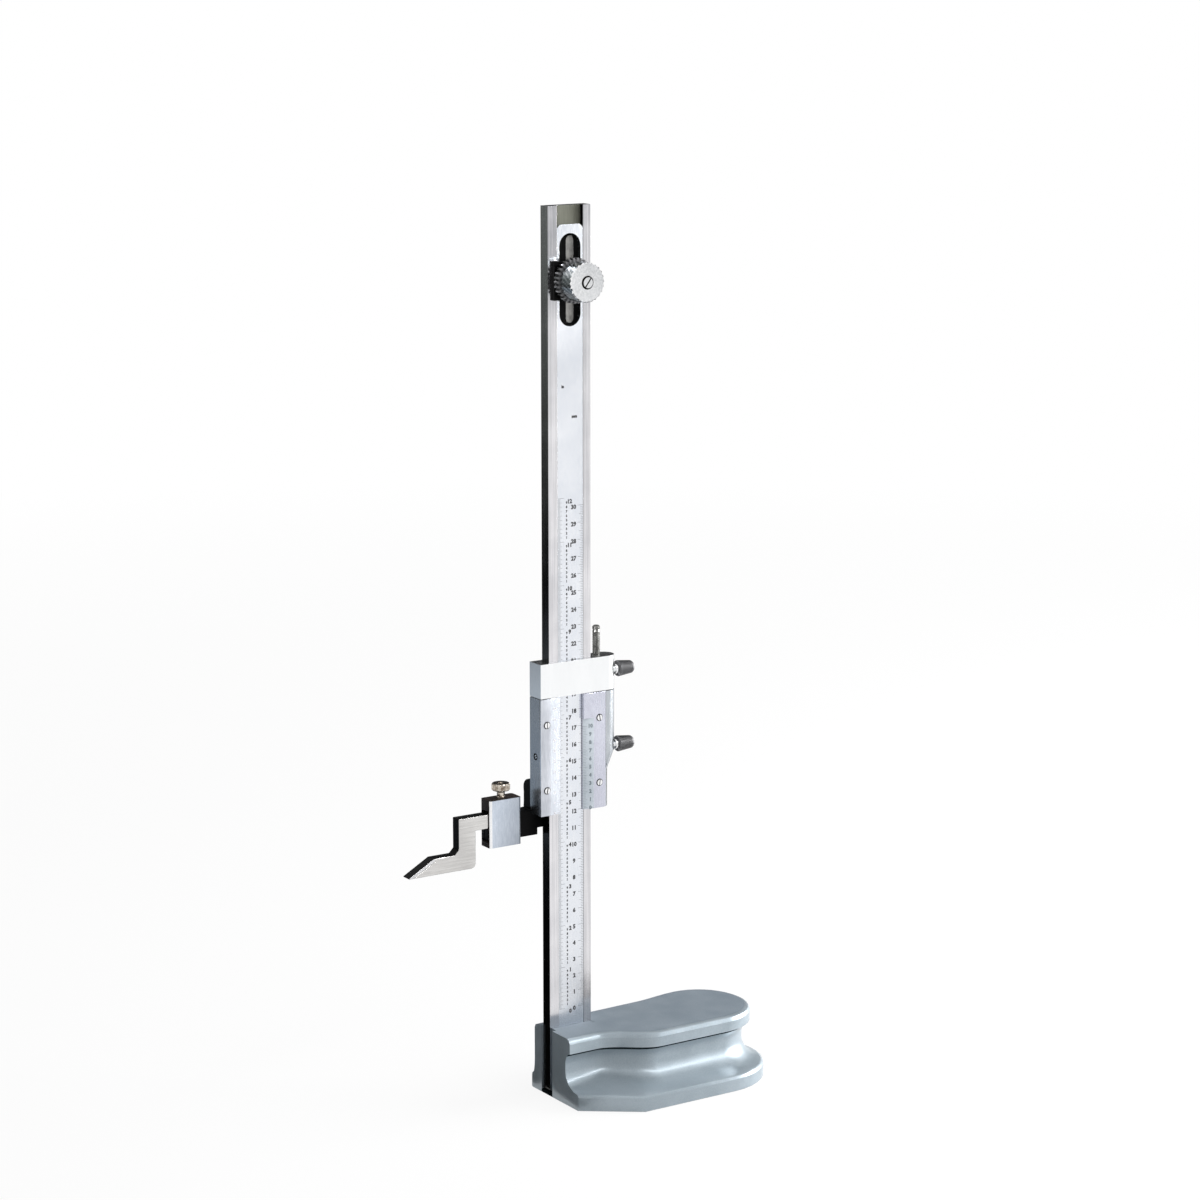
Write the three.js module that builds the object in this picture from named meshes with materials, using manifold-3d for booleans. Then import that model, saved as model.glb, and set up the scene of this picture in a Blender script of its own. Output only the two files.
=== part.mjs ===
import * as THREE from 'three';
import { mergeVertices } from 'three/addons/utils/BufferGeometryUtils.js';
import Module from 'manifold-3d';

// Vernier height gauge, in millimetres. The origin lies on the surface plate under the column's centre.
// +X runs along the base away from the scriber, -Y faces whoever reads the scale and +Z is up.

// Clearances
const slideGap = 0.1;
const runGap = 0.3;
const overrun = 1;

// Column
const columnWidth = 28.5;
const columnDepth = 7.5;
const columnTop = 522.8;
const columnFoot = 2;
const channelWidth = 17.4;
const channelDepth = 2.75;
const channelShift = 0.6;

// Base
const baseHeight = 40.7;
const baseEndMargin = 1.25;
const tongueNear = 27.1;
const lipNear = 43.6;
const lipFarEnd = 11.4;
const lipFarWaist = 13.5;
const lipFarRound = 17;
const flangeNearEnd = 36.5;
const flangeNear = 59.3;
const flangeFarEnd = 14.5;
const flangeFarWaist = 16;
const flangeFarRound = 17.5;
const flareStart = 4;
const flareEnd = 38;
const flangeCorner = 16.5;
const farWaist = 56;
const lipRoundCentre = 86;
const flangeRoundCentre = 81;
const flangeHeight = 9.8;
const flangeRound = 2.2;
const grooveDepth = 4.8;
const grooveLow = 20.5;
const grooveHigh = 24.5;
const lipUnderside = 31.8;
const lipRound = 3;
const footBevel = 0.6;
const reliefDepth = 1.2;
const reliefMargin = 11;
const groovesFadeFrom = 60;
const groovesFadeTo = 25;

// Clamp plate that holds the column in the end of the base, with its two cap screws
const keyThickness = 4.2;
const keySetback = 2.6;
const keyScrewReach = 7;
const keyScrewHeight = 15;
const keyScrewRadius = 2.25;
const keyScrewHeadRadius = 4;
const keyScrewHeadHeight = 4.5;
const keyScrewSink = 5.2;
const keyScrewTipCover = 1;

// Main scale and its guide strip
const scaleZero = 51.4;
const scaleRecess = 0.1;
const scaleBottom = 33;
const scaleSetback = 10.7;
const scaleCorner = 2;
const slotSetback = 4.9;
const slotLength = 52.8;
const slotWidth = 14.2;
const stripWidth = 5.2;
const stripShift = 1.5;
const stripThickness = 1.5;
const stripEndMargin = 1.6;

// Rack and pinion of the scale adjustment
const gearModule = 0.8;
const pinionTeeth = 14;
const rackTeeth = 8;
const gearAddendumShare = 0.74;
const gearDedendumShare = 1;
const gearBacklash = 0.16;
const gearPressure = THREE.MathUtils.degToRad(20);
const arborRadius = 3;

// Adjusting block, wheel and lock knob
const blockWidth = 24;
const blockHeight = 22;
const blockThickness = 2.45;
const blockCorner = 6;
const blockScrewReach = 10.2;
const blockScrewLeftSpread = 7.5;
const blockScrewRightSpread = 3.2;
const blockScrewRadius = 0.8;
const blockScrewHeadRadius = 1.3;
const blockScrewHeadHeight = 1;
const blockScrewDepth = 2.4;
const wheelRadius = 13;
const wheelThickness = 4.3;
const wheelFlutes = 30;
const knobRadius = 11.5;
const knobThickness = 10.9;
const knobGroove = 1.1;
const knobRim = 1.6;
const knobFlutes = 36;
const lockScrewRadius = 2;
const lockScrewHeadRadius = 4.2;
const lockScrewHeadHeight = 0.8;
const lockScrewDepth = 4;

// Shares of a round head, a flute or a rounded edge
const fluteDepth = 0.45;
const screwSlotShare = 0.14;
const screwSlotDepthShare = 0.55;
const socketDepthShare = 0.5;
const edgeRoundShare = 0.3;

// Slider
const reading = 120.3;
const vernierZero = 0.7;
const sliderHeight = 69.4;
const gibThickness = 1.95;
const gibEndMargin = 0.8;
const gibSideMargin = 0.3;
const leftWall = 4.9;
const rightReach = 6.7;
const bossReach = 11.55;
const bossBottom = 33.2;
const bossTaper = 10.8;
const faceThickness = 2.15;
const backWall = 2.15;
const gibScrewHeight = 34.8;
const gibScrewRadius = 2;

// Vernier plates
const plateThickness = 1.3;
const lipSetback = 2.5;
const plateOverlap = 1.1;
const plateEdge = 0.5;
const inchBevel = 7.5;
const metricPlateWidth = 15;
const metricBevel = 6.8;
const metricBevelTop = 54.5;
const plateScrewLow = 15.2;
const plateScrewHigh = 54.1;
const plateScrewInset = 4.2;
const plateScrewRadius = 0.9;
const plateScrewHeadRadius = 1.7;
const plateScrewHeadHeight = 0.5;
const plateScrewLength = 0.7;

// Clamp screws with their knobs and shoes
const clampHeight = 35.5;
const clampBack = 1.6;
const clampScrewRadius = 1.8;
const clampCollarRadius = 3;
const clampCollarLength = 1.9;
const clampKnobRadius = 4.9;
const clampKnobTipRadius = 3.8;
const clampKnobLength = 10.4;
const clampKnobBevel = 0.8;
const clampKnobFlutes = 22;
const shoeThickness = 2.1;
const shoeHalfDepth = 2.2;
const shoeHalfHeight = 5;

// Fine feed
const boxGap = 0.5;
const boxHeight = 20.2;
const boxClampHeight = 10.8;
const feedScrewX = 22.6;
const feedScrewY = 3.2;
const feedScrewRadius = 2.4;
const feedScrewTop = 107;
const feedScrewSeat = 14;
const feedScrewBevel = 1;
const nutRadius = 5.4;
const nutHeight = 6;
const nutBelow = 2;
const nutFlutes = 24;
const nutPlay = 0.25;

// Jaw
const jawThickness = 7.4;
const jawDrop = 13.8;
const jawTop = 20.2;
const jawCrown = 5.5;
const jawRight = 20.4;
const jawEndRelief = 0.8;
const jawScrewReach = 17.4;
const jawScrewLeftInset = 2.5;
const jawScrewLow = 4.5;
const jawScrewHigh = 12.5;
const jawScrewRadius = 1.25;
const jawScrewHeadRadius = 2.5;
const jawScrewHeadHeight = 2.6;
const jawScrewDepth = 4.2;
const armHeight = 15.6;
const armNeck = 8.4;
const armTongueHeight = 8.4;
const armTongueLength = 18.4;

// Scriber clamp
const clampFrameWidth = 21.4;
const clampFrameGap = 7;
const clampFrameDepth = 10.7;
const clampFrameHeight = 28.1;
const clampFrameFloor = 3.2;
const clampFrameCorner = 1.6;
const padThickness = 1.5;
const padWidth = 8;
const thumbHeadRadius = 5.5;
const thumbHeadHeight = 4.2;
const thumbNeckRadius = 2.65;
const thumbNeckHeight = 4.5;
const thumbThreadRadius = 2.2;
const thumbFlutes = 20;

// Scriber
const scriberThickness = 7;
const shankHeight = 8.4;
const shankEndGap = 3.9;
const stemGap = 8.5;
const stemWidth = 11.3;
const scriberDrop = 22.2;
const footReach = 32.9;
const footHeight = 9.7;
const footFillet = 2.8;
const soleCorner = 3;
const tipRun = 16.4;
const tipBlunt = 0.6;
const tipThickness = 1.6;

// Places that follow from the sizes above
const columnRight = columnWidth / 2;
const landY = -columnDepth / 2;
const floorY = landY + channelDepth;
const backY = columnDepth / 2;
const channelLeft = channelShift - channelWidth / 2;
const channelRight = channelShift + channelWidth / 2;
const baseEnd = -columnRight - baseEndMargin;
const scaleFrontY = landY + scaleRecess;
const scaleTop = columnTop - scaleSetback;
const slotHigh = scaleTop - slotSetback;
const slotLow = slotHigh - slotLength;
const sliderBottom = scaleZero + reading - vernierZero;
const passageFrontY = landY - slideGap;
const passageBackY = backY + slideGap;
const passageRight = columnRight + slideGap;
const sliderPassageLeft = -columnRight - gibThickness - 2 * slideGap;
const sliderLeft = sliderPassageLeft - leftWall;
const sliderFrontY = passageFrontY - faceThickness;
const sliderBackY = passageBackY + backWall;
const endRadius = (sliderBackY - sliderFrontY) / 2;
const endMiddleY = (sliderBackY + sliderFrontY) / 2;
const plateBackY = sliderFrontY + plateThickness;
const bossEnd = columnRight + bossReach + endRadius;
const inchPlateEdge = channelLeft + plateOverlap;
const metricPlateEdge = channelRight - plateOverlap;
const metricPlateRight = metricPlateEdge + metricPlateWidth;
const slotMiddle = channelShift;
const slotLeft = slotMiddle - slotWidth / 2;
const adjustAxis = (slotLow + slotHigh) / 2;
const gearPitch = Math.PI * gearModule;
const pitchRadius = gearModule * pinionTeeth / 2;
const blockFrontY = landY - blockThickness;
const wheelBackY = blockFrontY - runGap;
const wheelFrontY = wheelBackY - wheelThickness;
const knobBackY = wheelFrontY - runGap;
const knobFrontY = knobBackY - knobThickness;
const jawMiddleY = sliderBackY + jawThickness / 2;
const armLeft = sliderLeft - armNeck;
const armTop = armHeight - jawDrop;
const tongueTop = armTongueHeight - jawDrop;
const frameRight = sliderLeft - clampFrameGap;
const frameLeft = frameRight - clampFrameWidth;
const frameBottom = -jawDrop - slideGap - clampFrameFloor;
const frameTop = frameBottom + clampFrameHeight;
const shankTop = tongueTop + shankHeight;
const frameCeiling = shankTop + 2 * slideGap + padThickness;
const thumbX = (frameLeft + frameRight) / 2;

const wasm = await Module();
wasm.setup();

// A closed three.js geometry as a solid that can be joined and cut.
function solidOf(geometry) {
  const bare = geometry.clone();
  bare.deleteAttribute('normal');
  bare.deleteAttribute('uv');
  const merged = mergeVertices(bare);
  const mesh = new wasm.Mesh({
    numProp: 3,
    vertProperties: Float32Array.from(merged.attributes.position.array),
    triVerts: Uint32Array.from(merged.index.array),
  });
  return new wasm.Manifold(mesh);
}

function geometryOf(solid) {
  const mesh = solid.getMesh();
  const geometry = new THREE.BufferGeometry();
  geometry.setAttribute('position', new THREE.BufferAttribute(Float32Array.from(mesh.vertProperties), 3));
  geometry.setIndex(new THREE.BufferAttribute(Uint32Array.from(mesh.triVerts), 1));
  geometry.computeVertexNormals();
  return geometry;
}

function joined(...geometries) {
  return geometryOf(geometries.map(solidOf).reduce((whole, next) => whole.add(next)));
}

function carved(geometry, ...cutters) {
  return geometryOf(cutters.map(solidOf).reduce((whole, next) => whole.subtract(next), solidOf(geometry)));
}

function box(x0, x1, y0, y1, z0, z1) {
  const geometry = new THREE.BoxGeometry(x1 - x0, y1 - y0, z1 - z0);
  return geometry.translate((x0 + x1) / 2, (y0 + y1) / 2, (z0 + z1) / 2);
}

const unitX = new THREE.Vector3(1, 0, 0);
const unitY = new THREE.Vector3(0, 1, 0);
const unitZ = new THREE.Vector3(0, 0, 1);

// Turns a shape's own x, y and depth onto the axes of the part.
const alongAxis = {
  X: new THREE.Matrix4().makeBasis(unitY, unitZ, unitX),
  Y: new THREE.Matrix4().makeBasis(unitZ, unitX, unitY),
  Z: new THREE.Matrix4(),
};

// A prism whose outline lies across the axis: (y, z) for X, (z, x) for Y and (x, y) for Z.
function prism(axis, outline, from, to) {
  const shape = new THREE.Shape(outline.map(([a, b]) => new THREE.Vector2(a, b)));
  const geometry = new THREE.ExtrudeGeometry(shape, { depth: to - from, bevelEnabled: false, steps: 1 });
  return geometry.translate(0, 0, from).applyMatrix4(alongAxis[axis]);
}

// An outline drawn in the plane that faces the reader, as (x, z) points.
function platePrism(outline, from, to) {
  return prism('Y', outline.map(([x, z]) => [z, x]), from, to);
}

function circle(a, b, radius, sides) {
  const turn = 2 * Math.PI / sides;
  return Array.from({ length: sides }, (_, i) => [
    a + radius * Math.cos(turn * (i + 0.5)),
    b + radius * Math.sin(turn * (i + 0.5)),
  ]);
}

function rod(axis, a, b, radius, from, to, sides = 20) {
  return prism(axis, circle(a, b, radius, sides), from, to);
}

// A knurled outline: flutes of one depth round a circle.
function fluted(a, b, radius, flutes) {
  const turn = Math.PI / flutes;
  return Array.from({ length: 2 * flutes }, (_, i) => {
    const reach = radius - (i % 2) * fluteDepth;
    return [a + reach * Math.cos(turn * i), b + reach * Math.sin(turn * i)];
  });
}

// Skins a stack of closed rings, each with the same number of points, and caps its two ends.
function loft(rings, axis = 'Z') {
  const count = rings[0].length;
  const positions = rings.flat().flat();
  const index = [];
  for (let row = 0; row + 1 < rings.length; row += 1) {
    for (let i = 0; i < count; i += 1) {
      const next = (i + 1) % count;
      const low = row * count;
      const high = low + count;
      index.push(low + i, low + next, high + next, low + i, high + next, high + i);
    }
  }
  const last = (rings.length - 1) * count;
  const flat = (ring) => ring.map(([a, b]) => new THREE.Vector2(a, b));
  for (const [a, b, c] of THREE.ShapeUtils.triangulateShape(flat(rings[0]), [])) {
    index.push(c, b, a);
  }
  for (const [a, b, c] of THREE.ShapeUtils.triangulateShape(flat(rings.at(-1)), [])) {
    index.push(last + a, last + b, last + c);
  }
  const geometry = new THREE.BufferGeometry();
  geometry.setAttribute('position', new THREE.Float32BufferAttribute(positions, 3));
  geometry.setIndex(index);
  geometry.applyMatrix4(alongAxis[axis]);
  geometry.computeVertexNormals();
  return geometry;
}

function lifted(outline, level) {
  return outline.map(([a, b]) => [a, b, level]);
}

// A turned or knurled piece as outlines of growing level along its axis.
function turned(axis, stages) {
  return loft(stages.map(([outline, level]) => lifted(outline, level)), axis);
}

function steps(from, to, count) {
  return Array.from({ length: count }, (_, i) => from + (to - from) * (i + 1) / count);
}

function metal(color, roughness, metalness = 1) {
  return new THREE.MeshStandardMaterial({ color, roughness, metalness });
}

const paintedIron = () => metal(0x87919a, 0.45, 0.4);
const groundSteel = () => metal(0xb9bcc2, 0.25);
const satinChrome = () => metal(0xd5dae6, 0.35);
const brightSteel = () => metal(0xc9c9cc, 0.18);
const blackedSteel = () => metal(0x141416, 0.5, 0.6);
const brassMetal = () => metal(0xb5913f, 0.35);
const carbideMetal = () => metal(0x7d8086, 0.4);

function piece(parent, name, geometry, material) {
  const mesh = new THREE.Mesh(geometry, material);
  mesh.name = name;
  parent.add(mesh);
  return mesh;
}

// Plan of the base: each station has a point on the lip, one on the flange and the way inward.
function baseStations() {
  const stations = [];
  const smooth = (x) => THREE.MathUtils.smoothstep(x, flareStart, flareEnd);
  const nearLipY = (x) => -(tongueNear + (lipNear - tongueNear) * smooth(x));
  const nearFlangeY = (x) => {
    const share = THREE.MathUtils.clamp((x - baseEnd) / (flangeCorner - baseEnd), 0, 1);
    return -(flangeNearEnd + (flangeNear - flangeNearEnd) * share);
  };
  const nearStops = [
    baseEnd,
    ...steps(baseEnd, flareStart, 2),
    ...steps(flareStart, flangeCorner, 4),
    ...steps(flangeCorner, flareEnd, 6),
  ];
  for (const x of nearStops) {
    stations.push({ lip: [x, nearLipY(x)], flange: [x, nearFlangeY(x)], inward: [0, 1], groove: 1 });
  }
  const lipMiddleY = (lipFarRound - lipNear) / 2;
  const lipReach = (lipFarRound + lipNear) / 2;
  const flangeMiddleY = (flangeFarRound - flangeNear) / 2;
  const flangeReach = (flangeFarRound + flangeNear) / 2;
  const arcSteps = 18;
  for (let i = 0; i <= arcSteps; i += 1) {
    const angle = Math.PI * (i / arcSteps - 0.5);
    const [c, s] = [Math.cos(angle), Math.sin(angle)];
    stations.push({
      lip: [lipRoundCentre + lipReach * c, lipMiddleY + lipReach * s],
      flange: [flangeRoundCentre + flangeReach * c, flangeMiddleY + flangeReach * s],
      inward: [-c, -s],
      groove: 1,
    });
  }
  const farY = (x, start, end, waist, round) => {
    const toWaist = THREE.MathUtils.clamp((x - baseEnd) / (farWaist - baseEnd), 0, 1);
    return end + (waist - end) * toWaist + (round - waist) * THREE.MathUtils.smoothstep(x, farWaist, start);
  };
  const farStops = (start) => [...steps(start, farWaist, 5), ...steps(farWaist, groovesFadeTo, 4), baseEnd];
  const flangeStops = farStops(flangeRoundCentre);
  farStops(lipRoundCentre).forEach((x, i) => {
    const flangeX = flangeStops[i];
    stations.push({
      lip: [x, farY(x, lipRoundCentre, lipFarEnd, lipFarWaist, lipFarRound)],
      flange: [flangeX, farY(flangeX, flangeRoundCentre, flangeFarEnd, flangeFarWaist, flangeFarRound)],
      inward: [0, -1],
      groove: THREE.MathUtils.smoothstep(x, groovesFadeTo, groovesFadeFrom),
    });
  });
  return stations;
}

// Height and inset of the base's side at each station: a rounded flange, a finger groove and a lip.
function baseProfile({ lip, flange, inward, groove }) {
  const inset = ([x, y], by) => [x + inward[0] * by, y + inward[1] * by];
  const deepest = inset(lip, grooveDepth * groove);
  const shelf = Math.hypot(deepest[0] - flange[0], deepest[1] - flange[1]);
  const round = Math.min(flangeRound, shelf / 2);
  const shoulder = inset(flange, round);
  const between = (a, b, share) => [a[0] + (b[0] - a[0]) * share, a[1] + (b[1] - a[1]) * share];
  const points = [
    [...inset(flange, footBevel), 0],
    [...flange, footBevel],
    [...flange, flangeHeight - flangeRound],
    [...inset(flange, round * edgeRoundShare), flangeHeight - flangeRound * edgeRoundShare],
  ];
  const sweepSteps = 6;
  for (let i = 0; i <= sweepSteps; i += 1) {
    const angle = Math.PI / 2 * i / sweepSteps;
    const level = grooveLow - (grooveLow - flangeHeight) * Math.cos(angle);
    points.push([...between(shoulder, deepest, Math.sin(angle)), level]);
  }
  const underSteps = 4;
  for (let i = 0; i <= underSteps; i += 1) {
    const angle = Math.PI / 2 * i / underSteps;
    const level = grooveHigh + (lipUnderside - grooveHigh) * Math.sin(angle);
    points.push([...between(deepest, lip, 1 - Math.cos(angle)), level]);
  }
  points.push([...lip, baseHeight - lipRound]);
  points.push([...inset(lip, lipRound * edgeRoundShare), baseHeight - lipRound * edgeRoundShare]);
  points.push([...inset(lip, lipRound), baseHeight]);
  return points;
}

function baseGeometry() {
  const profiles = baseStations().map(baseProfile);
  const rings = profiles[0].map((_, level) => profiles.map((profile) => profile[level]));
  const slotNear = landY - keyThickness;
  const slot = box(baseEnd - overrun, columnRight, slotNear, backY, columnFoot, baseHeight + overrun);
  const reliefEdge = baseStations()
    .map(({ flange: [x, y], inward: [u, v] }) => [x + u * reliefMargin, y + v * reliefMargin])
    .filter(([x]) => x > columnRight + reliefMargin);
  const relief = prism('Z', reliefEdge, -overrun, reliefDepth);
  const bores = [-keyScrewReach, keyScrewReach].flatMap((x) => [
    rod('Y', keyScrewHeight, x, keyScrewRadius + runGap, backY - overrun, flangeFarRound + overrun),
    rod(
      'Y', keyScrewHeight, x, keyScrewHeadRadius + runGap,
      lipFarEnd - keyScrewSink, flangeFarRound + overrun,
    ),
  ]);
  return carved(loft(rings), slot, relief, ...bores);
}

// Column: a flat bar with one wide channel for the scale and a shallower one behind its slot.
function columnGeometry() {
  const bar = box(-columnRight, columnRight, landY, backY, columnFoot, columnTop);
  const channel = box(
    channelLeft, channelRight, landY - overrun, floorY, columnFoot - overrun, columnTop + overrun,
  );
  const stripBed = platePrism(stripOutline(), floorY - overrun, floorY + stripThickness);
  const keyHoles = [-keyScrewReach, keyScrewReach].map((x) => (
    rod('Y', keyScrewHeight, x, keyScrewRadius + runGap, landY - overrun, backY + overrun)
  ));
  const blockHoles = blockScrewPlaces().map(([x, z]) => (
    rod('Y', z, x, blockScrewRadius + slideGap, landY - overrun, landY + blockScrewDepth + runGap, 10)
  ));
  return carved(bar, channel, stripBed, ...keyHoles, ...blockHoles);
}

function keyGeometry() {
  const plate = box(baseEnd + keySetback, columnRight, landY - keyThickness, landY, columnFoot, baseHeight);
  const holeEnd = landY - keyThickness + keyScrewTipCover - slideGap;
  const holes = [-keyScrewReach, keyScrewReach].map((x) => (
    rod('Y', keyScrewHeight, x, keyScrewRadius + slideGap, holeEnd, landY + overrun)
  ));
  return carved(plate, ...holes);
}

// Cap screw with a hexagon socket: its head lies from `headStart` to `headEnd` and its tip points to -Y.
function capScrew([x, z], radius, headRadius, tip, headStart, headEnd) {
  const socketDepth = (headEnd - headStart) * socketDepthShare;
  return carved(
    joined(
      rod('Y', z, x, headRadius, headStart, headEnd, 16),
      rod('Y', z, x, radius, tip, headStart + slideGap, 12),
    ),
    prism('Y', circle(z, x, radius, 6), headEnd - socketDepth, headEnd + overrun),
  );
}

// Cap screw that pulls the clamp plate, the column and the back of the slot together.
function keyScrewGeometry(x) {
  const seat = lipFarEnd - keyScrewSink;
  const tip = landY - keyThickness + keyScrewTipCover;
  return capScrew(
    [x, keyScrewHeight], keyScrewRadius, keyScrewHeadRadius,
    tip, seat, seat + keyScrewHeadHeight,
  );
}

function stadium(middle, half, low, high, sidesPerEnd) {
  const ends = [];
  for (const [centre, start] of [[high - half, 0], [low + half, Math.PI]]) {
    for (let i = 0; i <= sidesPerEnd; i += 1) {
      const angle = start + Math.PI * i / sidesPerEnd;
      ends.push([middle + half * Math.cos(angle), centre + half * Math.sin(angle)]);
    }
  }
  return ends;
}

function stripOutline() {
  const middle = slotMiddle + stripShift;
  return stadium(middle, stripWidth / 2, slotLow + stripEndMargin, slotHigh - stripEndMargin, 6);
}

// Rack on the slot's left side, cut in the plate's own thickness.
function rackOutline() {
  const pitchX = slotMiddle - pitchRadius;
  const tipX = pitchX + gearModule * gearAddendumShare;
  const rootX = pitchX - gearModule * gearDedendumShare;
  const slope = Math.tan(gearPressure);
  const tipHalf = gearPitch / 4 - gearBacklash / 2 - (tipX - pitchX) * slope;
  const rootHalf = gearPitch / 4 - gearBacklash / 2 + (pitchX - rootX) * slope;
  const outline = [];
  for (let tooth = 0; tooth < rackTeeth; tooth += 1) {
    const centre = adjustAxis + (tooth - (rackTeeth - 1) / 2) * gearPitch;
    outline.push([rootX, centre - rootHalf], [tipX, centre - tipHalf]);
    outline.push([tipX, centre + tipHalf], [rootX, centre + rootHalf]);
  }
  const inPlate = slotLeft - (slotLeft - channelLeft) / 2;
  outline.push([inPlate, outline.at(-1)[1]], [inPlate, outline[0][1]]);
  return outline;
}

function scaleGeometry() {
  const left = channelLeft + slideGap;
  const right = channelRight - slideGap;
  const outline = [
    [left, scaleBottom], [right, scaleBottom],
    [right, scaleTop - scaleCorner], [right - scaleCorner, scaleTop],
    [left + scaleCorner, scaleTop], [left, scaleTop - scaleCorner],
  ];
  const plate = platePrism(outline, scaleFrontY, floorY);
  const slotOutline = stadium(slotMiddle, slotWidth / 2, slotLow, slotHigh, 10);
  const slot = platePrism(slotOutline, landY - overrun, floorY + overrun);
  return joined(carved(plate, slot), platePrism(rackOutline(), scaleFrontY, floorY));
}

// Involute tooth flanks of the pinion, with one tooth pointing at the rack.
function pinionOutline() {
  const base = pitchRadius * Math.cos(gearPressure);
  const tip = pitchRadius + gearModule * gearAddendumShare;
  const root = pitchRadius - gearModule * gearDedendumShare;
  const involute = (angle) => Math.tan(angle) - angle;
  const halfAt = (radius) => {
    const atPitch = (gearPitch / 2 - gearBacklash) / (2 * pitchRadius);
    const pressure = Math.acos(Math.min(1, base / radius));
    return atPitch + involute(gearPressure) - involute(pressure);
  };
  const radii = [root, base, pitchRadius, tip];
  const outline = [];
  for (let tooth = 0; tooth < pinionTeeth; tooth += 1) {
    const centre = Math.PI + 2 * Math.PI * tooth / pinionTeeth;
    const side = (sign, list) => (
      list.map((radius) => [radius, centre + sign * halfAt(Math.max(radius, base))])
    );
    for (const [radius, angle] of [...side(-1, radii), ...side(1, [...radii].reverse())]) {
      outline.push([slotMiddle + radius * Math.cos(angle), adjustAxis + radius * Math.sin(angle)]);
    }
  }
  return outline;
}

function blockScrewPlaces() {
  return [
    [slotMiddle - blockScrewReach, adjustAxis - blockScrewLeftSpread],
    [slotMiddle - blockScrewReach, adjustAxis + blockScrewLeftSpread],
    [slotMiddle + blockScrewReach, adjustAxis - blockScrewRightSpread],
    [slotMiddle + blockScrewReach, adjustAxis + blockScrewRightSpread],
  ];
}

// Black block bridging the scale, counterbored for its screws and bored for the arbor.
function blockGeometry() {
  const [left, right] = [slotMiddle - blockWidth / 2, slotMiddle + blockWidth / 2];
  const [low, high] = [adjustAxis - blockHeight / 2, adjustAxis + blockHeight / 2];
  const block = platePrism([
    [left, low], [right - blockCorner, low], [right, low + blockCorner],
    [right, high - blockCorner], [right - blockCorner, high], [left, high],
  ], blockFrontY, landY);
  const headSeat = blockFrontY + blockScrewHeadHeight + slideGap;
  const holes = blockScrewPlaces().flatMap(([x, z]) => [
    rod('Y', z, x, blockScrewRadius + slideGap, blockFrontY - overrun, landY + overrun, 10),
    rod('Y', z, x, blockScrewHeadRadius + slideGap, blockFrontY - overrun, headSeat, 12),
  ]);
  const bore = rod(
    'Y', adjustAxis, slotMiddle, arborRadius + slideGap,
    blockFrontY - overrun, landY + overrun,
  );
  return carved(block, bore, ...holes);
}

function blockScrewGeometry([x, z], spin) {
  return slottedScrew(
    'Y', z, x, blockScrewHeadRadius, blockScrewRadius,
    blockFrontY, blockFrontY + blockScrewHeadHeight, landY + blockScrewDepth, spin,
  );
}

// Arbor in one piece with its pinion, bored for the lock screw.
function arborGeometry() {
  const pinion = platePrism(pinionOutline(), scaleFrontY, floorY - runGap);
  const shaft = rod('Y', adjustAxis, slotMiddle, arborRadius, wheelFrontY, floorY - 2 * runGap);
  const bore = rod(
    'Y', adjustAxis, slotMiddle, lockScrewRadius + slideGap,
    wheelFrontY - overrun, wheelFrontY + lockScrewDepth + runGap,
  );
  return carved(joined(pinion, shaft), bore);
}

function wheelGeometry() {
  const rim = turned('Y', [
    [fluted(adjustAxis, slotMiddle, wheelRadius - fluteDepth, wheelFlutes), wheelFrontY],
    [fluted(adjustAxis, slotMiddle, wheelRadius, wheelFlutes), wheelFrontY + fluteDepth],
    [fluted(adjustAxis, slotMiddle, wheelRadius, wheelFlutes), wheelBackY - fluteDepth],
    [fluted(adjustAxis, slotMiddle, wheelRadius - fluteDepth, wheelFlutes), wheelBackY],
  ]);
  const bore = rod(
    'Y', adjustAxis, slotMiddle, arborRadius + slideGap,
    wheelFrontY - overrun, wheelBackY + overrun,
  );
  return carved(rim, bore);
}

function lockKnobGeometry() {
  const outline = (radius) => fluted(adjustAxis, slotMiddle, radius, knobFlutes);
  const knob = turned('Y', [
    [outline(knobRadius - 2 * fluteDepth), knobFrontY],
    [outline(knobRadius), knobFrontY + 2 * fluteDepth],
    [outline(knobRadius), knobBackY - fluteDepth],
    [outline(knobRadius - fluteDepth), knobBackY],
  ]);
  const waist = carved(
    rod(
      'Y', adjustAxis, slotMiddle, knobRadius + overrun,
      knobFrontY + knobRim, knobFrontY + knobRim + knobGroove, 36,
    ),
    rod('Y', adjustAxis, slotMiddle, knobRadius - knobGroove, knobFrontY, knobBackY, 36),
  );
  const bore = rod(
    'Y', adjustAxis, slotMiddle, lockScrewRadius + slideGap,
    knobFrontY - overrun, knobBackY + overrun,
  );
  return carved(knob, waist, bore);
}

// Slotted screw: a head at `face`, its shank running the other way and a slot across the head.
function slottedScrew(axis, a, b, headRadius, radius, face, headEnd, tip, slotSpin) {
  const way = Math.sign(tip - face);
  const span = (p, q) => [Math.min(p, q), Math.max(p, q)];
  const head = rod(axis, a, b, headRadius, ...span(face, headEnd), 20);
  const shank = rod(axis, a, b, radius, ...span(headEnd - way * slideGap, tip), 14);
  const [c, s] = [Math.cos(slotSpin), Math.sin(slotSpin)];
  const half = headRadius * screwSlotShare;
  const reach = headRadius + overrun;
  const bar = [[-reach, -half], [reach, -half], [reach, half], [-reach, half]];
  const across = bar.map(([u, v]) => [a + u * c - v * s, b + u * s + v * c]);
  const slotFloor = face + (headEnd - face) * screwSlotDepthShare;
  const slot = prism(axis, across, ...span(face - way * overrun, slotFloor));
  return carved(joined(head, shank), slot);
}

function lockScrewGeometry() {
  return slottedScrew(
    'Y', adjustAxis, slotMiddle, lockScrewHeadRadius, lockScrewRadius,
    knobFrontY - lockScrewHeadHeight, knobFrontY, wheelFrontY + lockScrewDepth, Math.PI / 3,
  );
}

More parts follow.
